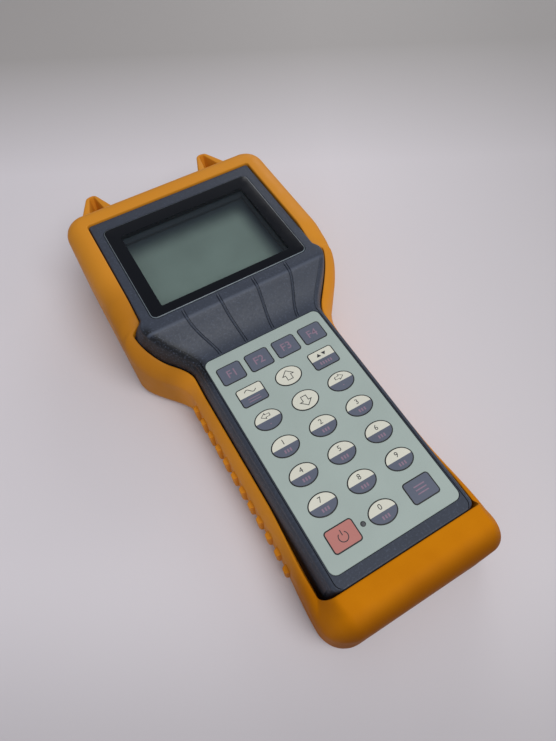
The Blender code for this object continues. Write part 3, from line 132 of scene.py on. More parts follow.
# The right ear: its heights, its foot, its tip and its hollow
EAR_TOP = RIM_TOP - 15.8 * MM
EAR_LOW = EAR_TOP - 21.4 * MM
EAR_START = HEAD_Y - 2.0 * MM
EAR_FOOT_FAR, EAR_FOOT_WIDTH = HEAD_HALF - 4.8 * MM, 31.1 * MM
EAR_TIP_FAR, EAR_TIP_WIDTH = HEAD_HALF - 19.5 * MM, 5.3 * MM
EAR_EDGE, EAR_CORNER = 0.9 * MM, 1.7 * MM
HOLLOW_START = HEAD_Y + 13.2 * MM
HOLLOW_NEAR, HOLLOW_FAR = HEAD_HALF - 25.4 * MM, HEAD_HALF - 17.2 * MM
HOLLOW_NEAR_LEAN, HOLLOW_FAR_LEAN = 1.8 * MM, 3.9 * MM
HOLLOW_EDGE, HOLLOW_CORNER = 0.7 * MM, 0.9 * MM
HOLLOW_FLARE, HOLLOW_FLOOR_SHARE = 0.16, 0.4

# The ramp between keypad and display, and its grooves, as shares of half widths and of a depth
RAMP_RISE = FRONT_TOP - LABEL_PLANE
RAMP_POWER = 1.7
RAMP_SOFT = 1.6 * MM
FRONT_NOSE = 0.6 * MM
GROOVE_AT = (0.2275, 0.6625)
GROOVE_LIMIT = (0.4, 0.85)
GROOVE_FOOT_SHARE = 0.762
GROOVE_REACH = 1.5
GROOVE_SECTION = (
    (-1.5, 0.0), (-1.3, 0.0), (-1.1, 1.0), (-0.75, 1.0), (-0.5, 0.1), (0.0, -0.15), (0.5, 0.1), (0.75, 1.0),
    (1.1, 1.0), (1.3, 0.0), (1.5, 0.0))

# Sockets at the head end, and the port in the holster that they are reached through
INPUT_RADIUS, INPUT_BORE, INPUT_FLANGE = 4.7 * MM, 3.5 * MM, 6.5 * MM
NUT_BORE = 5.0 * MM
JACK_X, JACK_RADIUS = 13.5 * MM, 4.0 * MM
PORT_HALF, PORT_RISE, PORT_ROUND = 20.0 * MM, 12.5 * MM, 3.0 * MM

# The photograph's camera, in metres, degrees and millimetres of lens, as solved from the key rows
CAMERA_PLACE = (-0.06131, -0.13328, 0.24303)
CAMERA_HEADING, CAMERA_FALL, CAMERA_ROLL = 28.186, 58.880, -2.43
CAMERA_SENSOR, CAMERA_LENS = 36.0, 26.72


def along(place):
    """The y of a place in mm from the tail end or, where negative, from the head end."""
    return (HEAD_Y if place < 0 else TAIL_Y) + place * MM


# Places between which one width or height gives way to the next
RAMP_START, RAMP_END = along(-107.0), along(-89.0)
BUMPER_RUN = along(14.0), along(48.0)
OUTER_NECK = along(-112.5), along(-81.5)
CASE_NECK = along(-108.5), along(-80.5)
FRONT_NECK = along(-108.0), along(-83.5)
SHOULDER_END = FRONT_NECK[1], along(-79.5)
LIP_TURN = along(-81.5), along(-78.2)
LIP_TAIL, LIP_HEAD = along(16.0), along(-13.2)
FRONT_TAIL, FRONT_HEAD = LIP_TAIL + GAP, LIP_HEAD - GAP


def tone(code):
    """Linear red, green and blue of an sRGB hex code."""
    values = [int(code[i:i + 2], 16) / 255 for i in (1, 3, 5)]
    return tuple(v / 12.92 if v <= 0.04045 else ((v + 0.055) / 1.055) ** 2.4 for v in values)


def shade(colour, factor):
    return tuple(min(channel * factor, 1.0) for channel in colour)


def ease(value, low, high):
    """0 below low, 1 above high, with a smooth rise between them."""
    share = np.clip((value - low) / (high - low), 0.0, 1.0)
    return share * share * (3.0 - 2.0 * share)


def mix(first, second, share):
    return first + (second - first) * share


def rounding(past, size):
    """1 before an edge, then down a quarter of a circle to 0 at size past its start."""
    return np.sqrt(1 - np.clip(past / size, 0.0, 1.0) ** 2)


def colour_prop(name, code, description):
    return bpy.props.FloatVectorProperty(
        name=name, description=description, subtype="COLOR", size=3, min=0.0, max=1.0, default=tone(code))


def length_prop(name, millimetres, description):
    return bpy.props.FloatProperty(
        name=name, description=description, subtype="DISTANCE", unit="LENGTH", min=0.0,
        default=millimetres * MM)


class METER_PG_holster(bpy.types.PropertyGroup):
    rubber: colour_prop("Rubber", "#C8801A", "Colour of the moulded rubber")
    rib_count: bpy.props.IntProperty(
        name="Ribs", description="Grip ribs on each side", min=2, max=20, default=12)
    rib_proud: length_prop("Rib height", 2.1, "How far a grip rib stands out of the side wall")
    rib_length: length_prop("Rib length", 3.5, "Length of one grip rib along the grip")
    ear_wall: length_prop("Ear wall", 1.3, "Wall at the tip of an ear")
    ear_depth: length_prop("Ear hollow", 10.0, "Depth of the hollow in an ear")


class METER_PG_case(bpy.types.PropertyGroup):
    plastic: colour_prop("Plastic", "#343A46", "Colour of the textured case")
    groove_width: length_prop("Groove width", 1.3, "Width of a fine groove on the ramp")
    groove_depth: length_prop("Groove depth", 0.6, "Depth of a fine groove on the ramp")


class METER_PG_display(bpy.types.PropertyGroup):
    border: colour_prop("Window border", "#0D1016", "Colour printed round the window")
    screen: colour_prop("Display", "#8AA199", "Colour of the unlit liquid crystal display")
    view_half: length_prop("Half view", 33.3, "Half the width of the clear opening")


class METER_PG_keypad(bpy.types.PropertyGroup):
    film: colour_prop("Label film", "#9EABA5", "Colour of the keypad label")
    cream: colour_prop("Cream", "#D2D1C2", "Colour of the pale key faces")
    slate: colour_prop("Slate", "#565C6C", "Colour of the dark key faces")
    salmon: colour_prop("Salmon", "#B4736B", "Colour of the power key")
    mark: colour_prop("Faint mark", "#856E80", "Colour of the second marks on the slate faces")
    key_gap: length_prop("Key gap", 0.12, "Gap between a key and the label round it")
    line: length_prop("Key line", 0.28, "Width of the black line round a key")


class METER_PG_sockets(bpy.types.PropertyGroup):
    plating: colour_prop("Plating", "#B9B4A6", "Colour of the nickel plating")
    thread_pitch: length_prop("Thread pitch", 0.794, "Pitch of the coaxial thread")
    thread_depth: length_prop("Thread depth", 0.42, "Depth of the coaxial thread")


class METER_PG_stage(bpy.types.PropertyGroup):
    floor: colour_prop("Floor", "#CFCACE", "Colour of the pale floor")
    lamp_power: bpy.props.FloatProperty(
        name="Lamp", description="Power of the large soft lamp", unit="POWER", min=0.0, default=7.5)
    sky: bpy.props.FloatProperty(
        name="Sky", description="Strength of the even light", min=0.0, default=0.52)


SETTINGS = {
    "meter_holster": METER_PG_holster,
    "meter_case": METER_PG_case,
    "meter_display": METER_PG_display,
    "meter_keypad": METER_PG_keypad,
    "meter_sockets": METER_PG_sockets,
    "meter_stage": METER_PG_stage,
}


# Meshes from arrays


def grid_faces(rows, columns, close_rows=False, close_columns=False):
    """Quads between neighbouring rows and columns of a grid whose points are counted row by row."""
    row = np.arange(rows if close_rows else rows - 1)[:, None]
    column = np.arange(columns if close_columns else columns - 1)[None, :]
    after_row, after_column = (row + 1) % rows, (column + 1) % columns
    corners = [
        row * columns + column, row * columns + after_column,
        after_row * columns + after_column, after_row * columns + column]
    return np.stack(np.broadcast_arrays(*corners), axis=-1).reshape(-1, 4)


def solid(points, close_rows=False, close_columns=True):
    """Points and faces of a grid of rings; open ends are closed by one face each."""
    rows, columns = points.shape[:2]
    faces = grid_faces(rows, columns, close_rows, close_columns).tolist()
    if not close_rows:
        faces.append(list(range(columns)))
        faces.append(list(range((rows - 1) * columns, rows * columns)))
    return points.reshape(-1, 3), faces


def double_skin(outer, inner):
    """Points and faces of two grids of one shape, an outer and an inner surface, joined by a strip
    of quads along their borders."""
    rows, columns = outer.shape[:2]
    shift = rows * columns
    quads = grid_faces(rows, columns)
    index = np.arange(shift).reshape(rows, columns)
    loop = np.concatenate([index[0], index[1:, -1], index[-1, -2::-1], index[-2:0:-1, 0]])
    after = np.roll(loop, -1)
    strip = np.stack([loop, loop + shift, after + shift, after], axis=1)
    faces = np.concatenate([quads, quads[:, ::-1] + shift, strip])
    return np.concatenate([outer.reshape(-1, 3), inner.reshape(-1, 3)]), faces.tolist()


def joined(parts):
    """Several (points, faces, slot) lists put together as one mesh's points, faces and slots."""
    points, faces, slots, start = [], [], [], 0
    for part_points, part_faces, part_slots in parts:
        points.append(part_points)
        faces += [[index + start for index in face] for face in part_faces]
        slots += [part_slots] * len(part_faces) if isinstance(part_slots, int) else list(part_slots)
        start += len(part_points)
    return np.concatenate(points), faces, slots


def make_piece(name, points, faces, materials, slots=None, angle=40.0, merge=True):
    """One object at the origin, its normals outward and its sharp edges marked by angle."""
    mesh = bpy.data.meshes.new(name)
    mesh.from_pydata(np.asarray(points).tolist(), [], faces)
    for made in materials:
        mesh.materials.append(made)
    if slots is not None:
        mesh.polygons.foreach_set("material_index", slots)
    if merge:
        shape = bmesh.new()
        shape.from_mesh(mesh)
        bmesh.ops.remove_doubles(shape, verts=shape.verts, dist=2e-6)
        bmesh.ops.dissolve_degenerate(shape, edges=shape.edges, dist=1e-7)
        bmesh.ops.recalc_face_normals(shape, faces=shape.faces)
        shape.to_mesh(mesh)
        shape.free()
    item = bpy.data.objects.new(name, mesh)
    bpy.context.scene.collection.objects.link(item)
    smooth(item, angle)
    return item


def smooth(item, angle):
    item.data.shade_smooth()
    item.data.set_sharp_from_angle(angle=math.radians(angle))


def carve(item, parts, operation="DIFFERENCE", solver="EXACT"):
    """Cuts or adds closed (points, faces) shapes in one Boolean, applied to the mesh."""
    tools = make_piece(item.name + "_tool", *joined([(*part, 0) for part in parts])[:2], [])
    step = item.modifiers.new("carve", "BOOLEAN")
    step.operation = operation
    step.solver = solver
    step.object = tools
    bpy.context.view_layer.update()
    graph = bpy.context.evaluated_depsgraph_get()
    old, spent = item.data, tools.data
    item.data = bpy.data.meshes.new_from_object(item.evaluated_get(graph))
    item.modifiers.clear()
    bpy.data.objects.remove(tools)
    for mesh in (old, spent):
        bpy.data.meshes.remove(mesh)


def rounded_loop(half_x, low_y, high_y, radius, steps=8):
    """A rounded rectangle, counter-clockwise from the middle of its right side, with a point in
    the middle of its left side."""
    turns = np.linspace(0.0, np.pi / 2, steps + 1)
    middle = (low_y + high_y) / 2
    runs = [np.array([[half_x, middle]])]
    for quarter, (side_x, side_y) in enumerate(((1, 1), (-1, 1), (-1, -1), (1, -1))):
        turn = turns + quarter * np.pi / 2
        x = side_x * (half_x - radius) + radius * np.cos(turn)
        centre = high_y - radius if side_y > 0 else low_y + radius
        runs.append(np.stack([x, centre + radius * np.sin(turn)], axis=1))
        if quarter == 1:
            runs.append(np.array([[-half_x, middle]]))
    return np.concatenate(runs)


def oval_loop(length, width, steps=48):
    """An ellipse, counter-clockwise from its right end."""
    turns = np.arange(steps) * 2 * np.pi / steps
    return np.stack([length / 2 * np.cos(turns), width / 2 * np.sin(turns)], axis=1)


def at_height(loop, height):
    return np.column_stack([loop, np.full(len(loop), height)])


def plate_solid(loop, low, high):
    """A flat loop drawn up from one height to another."""
    return solid(np.stack([at_height(loop, low), at_height(loop, high)]))


def turned_points(radii, places, centre, steps=48, axis="z"):
    """A profile spun round an axis: a radius at each place, or one for each step of the turn too."""
    turns = np.arange(steps) * 2 * np.pi / steps
    radii = np.asarray(radii, float).reshape(len(places), -1)
    across, up = radii * np.cos(turns), radii * np.sin(turns)
    length = np.repeat(np.asarray(places, float)[:, None], steps, axis=1)
    order = (across, up, length) if axis == "z" else (across, length, up)
    return np.stack(order, axis=-1) + np.array(centre)


def ribbon_solid(left, right, low, high, closed=False):
    """A flat band between two lines of points, given a thickness from low to high."""
    ring = np.stack([
        at_height(left, low), at_height(right, low), at_height(right, high), at_height(left, high)], axis=1)
    return solid(ring, close_rows=closed)


def ride_on(item, body, slot, *nodes):
    """Seats a finished piece on its body and lets it stand for the nodes that it replaces."""
    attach(item, body)
    if nodes:
        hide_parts(*nodes)


def dress(node, made):
    """Gives a node of the frame its material."""
    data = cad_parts[node].data
    data.materials.clear()
    data.materials.append(made)


# Materials


RGBA = {"data_type": "RGBA"}
SMOOTH = {"interpolation_type": "SMOOTHSTEP"}
FULL_RANGE = (0.0, 1.0)


def feed(tree, socket, value):
    """Links a socket to its source, or sets its number or colour."""
    if isinstance(value, bpy.types.NodeSocket):
        tree.links.new(value, socket)
    else:
        socket.default_value = (*value, 1.0) if socket.type == "RGBA" else value


def add_node(tree, kind, settings=None, output=0, **inputs):
    """Adds a node, sets its settings, feeds its live inputs by name or by number, and returns one
    of its live outputs."""
    made = tree.nodes.new("ShaderNode" + kind)
    for key, value in (settings or {}).items():
        setattr(made, key, value)
    live = [socket for socket in made.inputs if socket.enabled]
    for key, value in inputs.items():
        name = key.replace("_", " ").strip()
        feed(tree, live[int(name)] if name.isdigit() else next(s for s in live if s.name == name), value)
    return [socket for socket in made.outputs if socket.enabled][output]


def new_material(name):
    """A material, its node tree, and the place of a point on the piece."""
    made = bpy.data.materials.new(name)
    made.use_nodes = True
    return made, made.node_tree, add_node(made.node_tree, "TexCoord", output=3)


def finish(made, height=None, depth_mm=0.0, **inputs):
    """Feeds the shader's inputs by name, and a height as a bump of that depth."""
    tree = made.node_tree
    shader = tree.nodes["Principled BSDF"]
    if height is not None:
        inputs["Normal"] = add_node(tree, "Bump", Height=height, Distance=depth_mm * MM)
    for key, value in inputs.items():
        feed(tree, shader.inputs[key.replace("_", " ")], value)
    return made


def lumps(tree, place, size_mm, detail=2.0, fine=0.5, ends=None, span=(0.3, 0.7)):
    """A value that wanders in lumps about size_mm wide, with smaller lumps in them by detail and
    fine. Where ends are given, the noise within span is stretched to lie between them."""
    noise = add_node(
        tree, "TexNoise", Vector=place, Scale=1.0 / (size_mm * MM), Detail=detail, Roughness=fine)
    if ends is None:
        return noise
    return add_node(
        tree, "MapRange", Value=noise, From_Min=span[0], From_Max=span[1], To_Min=ends[0], To_Max=ends[1])


def laid_over(tree, base, colour, *shares):
    """A tone with another laid over it, by the product of shares. A share is a source of its own,
    or a value and the two places between which it rises smoothly from 0 to 1."""
    total = None
    for share in shares:
        if isinstance(share, tuple):
            value, start, end = share
            share = add_node(tree, "MapRange", SMOOTH, Value=value, From_Min=start, From_Max=end)
        total = share if total is None else add_node(
            tree, "Math", {"operation": "MULTIPLY"}, _0=total, _1=share)
    return add_node(tree, "Mix", RGBA, Factor=total, A=base, B=colour)


def even_finish(name, tones, cloud, gloss, tooth, depth_mm, **inputs):
    """A finish that is the same all over: two tones that a cloud blends, a gloss that is a number
    or wanders, and a fine tooth. Cloud, gloss and tooth are given as what lumps takes."""
    made, tree, place = new_material(name)
    return finish(
        made, lumps(tree, place, *tooth), depth_mm,
        Base_Color=laid_over(tree, *tones, lumps(tree, place, *cloud)),
        Roughness=lumps(tree, place, *gloss) if isinstance(gloss, tuple) else gloss, **inputs)


def moulded(name, colour, roughness, grain_mm=0.5, depth_mm=0.02, specular=0.5):
    """Moulded plastic or rubber: a fine even skin, slightly cloudy tone, uneven gloss."""
    return even_finish(
        name, (shade(colour, 0.94), shade(colour, 1.06)), (22.0, 3.0, 0.5, FULL_RANGE),
        (4.0, 2.0, 0.5, (roughness - 0.05, roughness + 0.05)), (grain_mm, 3.0, 0.6), depth_mm,
        Specular_IOR_Level=specular)


def plated(name, colour, roughness, grain_mm=0.3):
    """Plated metal: bright, with faint marks from the tool in the gloss."""
    return even_finish(
        name, (shade(colour, 0.9), shade(colour, 1.08)), (3.0, 3.0),
        (0.8, 3.0, 0.5, (roughness - 0.06, roughness + 0.1)), (grain_mm, 2.0), 0.006, Metallic=1.0)


def film_material(name, colour):
    """Printed polyester film: satin, nearly flat, with a very fine tooth."""
    return even_finish(
        name, (shade(colour, 0.97), shade(colour, 1.03)), (18.0, 2.0, 0.5, FULL_RANGE),
        (2.5, 2.0, 0.5, (0.42, 0.5)), (0.25, 2.0), 0.006)


def ink_material(name, colour):
    """Printing ink on film: matt, slightly uneven cover."""
    return even_finish(
        name, (shade(colour, 0.92), shade(colour, 1.08)), (0.6, 3.0, 0.5, FULL_RANGE), 0.5,
        (0.2, 2.0), 0.004)


def border_material(name, colour):
    """Black print seen through the glossy window."""
    return even_finish(
        name, (shade(colour, 0.85), shade(colour, 1.15)), (25.0, 2.0), (9.0, 3.0, 0.5, (0.12, 0.22)),
        (12.0, 2.0), 0.01, Specular_IOR_Level=0.12)


def edge_material(name):
    """The rounded rim of the acrylic sheet: a paler grey painted on as the highlight along its edge."""
    return even_finish(name, (tone("#4A5259"), tone("#77828A")), (2.0,), 0.25, (0.8,), 0.01)


def lens_material(name):
    """Dark tinted lens of the unlit power light."""
    return even_finish(
        name, (tone("#4F5053"), tone("#5B5C5F")), (0.8,), 0.5, (0.5,), 0.004, Specular_IOR_Level=0.1)


def pane_material(name):
    """Clear acrylic sheet: mostly see-through, with its own gloss."""
    made, tree, place = new_material(name)
    return finish(
        made, Base_Color=tone("#232A2E"), Roughness=lumps(tree, place, 10.0, 2.0, 0.5, (0.05, 0.12)),
        Alpha=lumps(tree, place, 16.0, 2.0, 0.5, (0.16, 0.2)))


def board_mask(name):
    """Solder mask: glossy green with faint copper tracks under it."""
    made, tree, place = new_material(name)
    tracks = add_node(
        tree, "TexBrick", {"offset": 0.37}, 1, Vector=place, Scale=1.0 / (6.0 * MM), Mortar_Size=0.06,
        Mortar_Smooth=0.2)
    return finish(
        made, tracks, 0.03, Base_Color=laid_over(tree, tone("#17523A"), tone("#2A7350"), tracks),
        Roughness=0.3)


def rubber_material(name, colour):
    """Moulded rubber: satin, a soft even skin with dusty lighter specks. Lighter towards the head end,
    painted shade on the left shoulder, and the bumper deeper in tone, with painted shade low down and on
    its end."""
    made, tree, place = new_material(name)
    x, y, z = add_node(tree, "SeparateXYZ", Vector=place).node.outputs
    cloud = lumps(tree, place, 30.0, 3.0, 0.5, FULL_RANGE)
    base = laid_over(tree, shade(colour, 1.1), shade(colour, 1.2), cloud)
    # lighter towards the head end
    base = laid_over(tree, base, tone("#CE8724"), (y, along(-100.0), along(-76.0)))
    # painted shade on the left shoulder, where the light falls less
    base = laid_over(
        tree, base, shade(colour, 0.77), (x, -20.0 * MM, -38.0 * MM), (y, along(-46.0), along(-74.0)),
        (y, along(-109.0), along(-98.0)))
    bumper = laid_over(tree, tone("#B66C05"), tone("#CA7D0A"), cloud)
    # painted shade: the bumper darker low down and darkest on its tail face
    bumper = laid_over(tree, bumper, tone("#A35E03"), (z, 34.0 * MM, 10.0 * MM))
    bumper = laid_over(tree, bumper, tone("#7A4403"), (y, along(9.0), along(0.0)))
    base = laid_over(tree, base, bumper, (y, along(50.0), along(20.0)))
    dust = lumps(tree, place, 0.7, 4.0, 0.7, (0.0, 0.16), (0.62, 0.78))
    shine = add_node(
        tree, "MapRange", Value=y, From_Min=along(20.0), From_Max=along(60.0), To_Min=0.03, To_Max=0.15)
    return finish(
        made, lumps(tree, place, 0.45, 3.0, 0.6), 0.03,
        Base_Color=laid_over(tree, base, shade(colour, 1.35), dust),
        Roughness=lumps(tree, place, 6.0, 3.0, 0.5, (0.48, 0.62)), Specular_IOR_Level=shine)


def case_material(name, colour):
    """Spark-textured hard plastic: a sharp fine grain with painted glints, painted shade on the flanks
    under the front edge and on the left edge of the ramp, and a painted highlight along the ramp's crest."""
    made, tree, place = new_material(name)
    x, y, z = add_node(tree, "SeparateXYZ", Vector=place).node.outputs
    pits = add_node(tree, "TexVoronoi", Vector=place, Scale=1.0 / (0.42 * MM))
    height = add_node(
        tree, "Math", {"operation": "MULTIPLY_ADD"}, _0=pits, _1=0.6, _2=lumps(tree, place, 0.3, 3.0, 0.65))
    cloud = lumps(tree, place, 14.0, 3.0, 0.5, FULL_RANGE)
    base = laid_over(tree, shade(colour, 0.96), shade(colour, 1.04), cloud)
    # painted shade on the flanks below the front edge
    base = laid_over(
        tree, base, shade(colour, 0.62), (z, LABEL_PLANE - 0.6 * MM, LABEL_PLANE - 4.0 * MM))
    half = add_node(
        tree, "MapRange", SMOOTH, Value=y, From_Min=FRONT_NECK[0], From_Max=FRONT_NECK[1],
        To_Min=FRONT_GRIP_HALF, To_Max=FRONT_HEAD_HALF + FRONT_SHOULDER)
    wide = add_node(tree, "Math", {"operation": "ABSOLUTE"}, _0=x)
    beyond = add_node(tree, "Math", {"operation": "SUBTRACT"}, _0=wide, _1=half)
    # painted shade on the left edge of the ramp and the left shoulder
    base = laid_over(
        tree, base, shade(colour, 0.16), (y, along(-82.0), along(-88.0)),
        (y, along(-126.0), along(-112.0)), (beyond, -4.2 * MM, 0.2 * MM), (x, 0.0, -20.0 * MM))
    past_crest = add_node(tree, "Math", {"operation": "SUBTRACT"}, _0=y, _1=RAMP_END)
    from_crest = add_node(tree, "Math", {"operation": "ABSOLUTE"}, _0=past_crest)
    # painted highlight along the ramp's crest
    base = laid_over(
        tree, base, shade(colour, 1.5), (from_crest, 1.0 * MM, 0.2 * MM),
        (z, FRONT_TOP - 3.0 * MM, FRONT_TOP - 1.2 * MM))
    # painted glints: bright specks in the colour standing in for the sparkle of the grain
    painted_glint = lumps(tree, place, 0.9, 3.0, 0.7, (0.0, 0.9), (0.54, 0.7))
    return finish(
        made, height, 0.03, Base_Color=laid_over(tree, base, shade(colour, 1.8), painted_glint),
        Roughness=lumps(tree, place, 1.2, 3.0, 0.5, (0.4, 0.5)), Specular_IOR_Level=0.3)


def display_material(name, colour):
    """Unlit liquid crystal glass: grey-green, dark along its head end and its right side, where the
    window's border shades it, with a faint grid of dots."""
    made, tree, place = new_material(name)
    x, y, _ = add_node(tree, "SeparateXYZ", Vector=place).node.outputs
    towards_tail = add_node(tree, "MapRange", Value=y, From_Min=along(-45.0), From_Max=along(-80.0))
    base = laid_over(tree, shade(colour, 0.94), shade(colour, 1.08), towards_tail)
    base = laid_over(
        tree, tone("#333E48"), base, (y, along(-28.0), along(-43.0)), (x, 33.0 * MM, 23.0 * MM))
    lines = add_node(
        tree, "TexBrick", {"offset": 0.0}, 1, Vector=place, Scale=1.0 / (0.52 * MM), Mortar_Size=0.05,
        Mortar_Smooth=0.5, Brick_Width=1.0, Row_Height=1.0)
    faint = add_node(tree, "MapRange", Value=lines, To_Max=0.1)
    return finish(
        made, lumps(tree, place, 8.0, 2.0), 0.004, Roughness=0.3,
        Base_Color=laid_over(tree, base, shade(colour, 0.5), faint))


# Shape of the holster and the case, after the solids


def case_half(y):
    return mix(CASE_GRIP_HALF, CASE_HEAD_HALF, ease(y, *CASE_NECK))


def cavity_half(y):
    return case_half(y) + GAP


def outer_half(y):
    bumper = BUMPER_PROUD * (1.0 - ease(y, *BUMPER_RUN))
    return GRIP_WALL_HALF + bumper + (HEAD_HALF - GRIP_WALL_HALF) * ease(y, *OUTER_NECK)


def lip_flare(y):
    """1 where the front opening stands away from the grip near the tail, 0 further up."""
    return 1.0 - ease(y, along(27.5), along(61.5))


def lip_half(y):
    return mix(cavity_half(y) + LIP_FLARE * lip_flare(y) + TINY, LIP_HEAD_HALF, ease(y, *LIP_TURN))


def back_half(y):
    return cavity_half(y) - BACK_LIP


def front_half(y):
    """Half the width of the front: grip, neck, a shoulder wider than the head, head."""
    shoulder = FRONT_SHOULDER * (1.0 - ease(y, *SHOULDER_END))
    return mix(FRONT_GRIP_HALF, FRONT_HEAD_HALF + shoulder, ease(y, *FRONT_NECK))


def rim_height(y):
    """Height of the holster's rim: low along the grip, rising over the shoulder to the head."""
    shoulder_rise = RIM_TOP - GRIP_RIM - NECK_RISE - HEAD_RISE
    return (GRIP_RIM + NECK_RISE * ease(y, along(-118.5), along(-106.5))
            + shoulder_rise * ease(y, along(-96.5), along(-74.5))
            + HEAD_RISE * ease(y, along(-78.5), along(-64.5)))


def front_height(y):
    """Flat, a ramp whose rise is the power of the way up it, a soft crest, flat: with spare the
    ramp's height less the crest's, the crest's height + (spare - sqrt(spare^2 + soft^2)) / 2."""
    share = np.clip((y - RAMP_START) / (RAMP_END - RAMP_START), 0.0, None)
    spare = RAMP_RISE * (share ** RAMP_POWER - 1.0)
    return FRONT_TOP + (spare - np.hypot(spare, RAMP_SOFT * np.minimum(share, 1.0))) / 2


def corner_cut(y, tail, head, tail_round, head_round):
    """How much a rounded plan corner takes off the half width."""
    below = np.clip(tail + tail_round - y, 0.0, tail_round)
    above = np.clip(y - head + head_round, 0.0, head_round)
    low = tail_round - np.sqrt(tail_round ** 2 - below ** 2)
    high = head_round - np.sqrt(head_round ** 2 - above ** 2)
    return low + high


def half_outline(half, tail, head, tail_round, head_round, sides):
    """The +x half of a plan outline: straight tail, corner arc, the sides' function, corner arc,
    straight head. A side station within reach of the tail's arc moves past its end, by a share that
    eases to nothing, so that the stations of two nested outlines face each other."""
    shift = max(tail + tail_round - sides[0], 0.0) + 0.2 * MM
    sides = sides + shift * (1.0 - ease(sides, sides[0], sides[0] + 22.0 * MM))
    low = half(tail + tail_round) - tail_round
    high = half(head - head_round) - head_round
    turns = np.linspace(0.0, np.pi / 2, ARC_POINTS)
    shares = np.linspace(0.0, 1.0, ARC_POINTS + 1)[:-1]
    x = np.concatenate([
        low * shares, low + tail_round * np.sin(turns), half(sides),
        high + head_round * np.cos(turns), high * shares[::-1]])
    y = np.concatenate([
        np.full(len(shares), tail), tail + tail_round * (1 - np.cos(turns)), sides,
        head - head_round * (1 - np.sin(turns)), np.full(len(shares), head)])
    return np.stack([x, y], axis=1)


def rib_middles(count):
    return np.linspace(along(36.5), along(-115.0), count)


def holster_sides(settings):
    """Every y of the sides' stations: close together at each rib's ends and round the shoulder."""
    half = settings.rib_length / 2
    steps = np.array([0.0, 0.42, 0.56, 0.72, 0.86, 0.95, 1.0, 1.08]) * half
    ribs = rib_middles(settings.rib_count)[:, None] + np.concatenate([-steps[:0:-1], steps])[None, :]
    neck = np.arange(along(-114.0), along(-62.0), 0.7 * MM)
    ends = [np.arange(along(12.6), along(33.0), 1.0 * MM), np.arange(along(-60.0), along(-22.0), 2.5 * MM)]
    return np.unique(np.concatenate([ribs.ravel(), neck, *ends]))


def rim_and_under(sides):
    """Heights of the rim and of the lip's underside at every station of the outline. The underside
    drops where the opening stands away from the grip."""
    tail, head = np.full(ARC_POINTS, TAIL_RIM), np.full(2 * ARC_POINTS, RIM_TOP)
    arc = np.linspace(0, 1, ARC_POINTS)
    rim = np.concatenate([tail, mix(TAIL_RIM, GRIP_RIM, ease(arc, 0.0, 1.0)), rim_height(sides), head])
    under = np.concatenate([np.full(2 * ARC_POINTS, GRIP_RIM), rim_height(sides), head]) - LIP_THICKNESS
    under[ARC_POINTS:2 * ARC_POINTS] -= LIP_FLARE_DEPTH * ease(arc, 0.75, 1.0)
    under[2 * ARC_POINTS:-2 * ARC_POINTS] -= LIP_FLARE_DEPTH * lip_flare(sides)
    return rim, under


def stretch(place, height):
    """Points of a plan outline at one height, or each at its own."""
    heights = np.broadcast_to(np.reshape(height, (-1, 1)), (len(place), 1))
    return np.concatenate([place, heights], axis=1)


def rib_sections(settings, outer):
    """The outer wall with its ribs. A rib adds its height, which grows a little up the wall, times
    quarter circles at its two ends along y and at its foot and top."""
    nearest = np.abs(outer[:, 1:] - rib_middles(settings.rib_count)[None, :]).min(axis=1, keepdims=True)
    ends = rounding(nearest - settings.rib_length / 2 + RIB_END_ROUND, RIB_END_ROUND)
    side_station = np.zeros((len(outer), 1))
    side_station[2 * ARC_POINTS:-2 * ARC_POINTS] = 1.0
    sections = []
    for row in RIB_ROWS:
        low, high = rounding(RIB_FULL[0] - row, RIB_ROUNDS[0]), rounding(row - RIB_FULL[1], RIB_ROUNDS[1])
        taper = mix(RIB_FOOT_TAPER, 1.0, row / RIB_ROWS[-1])
        proud = settings.rib_proud * ends * min(low, high) * taper * side_station
        sections.append(stretch(outer + np.concatenate([proud, 0 * proud], axis=1), row))
    return sections


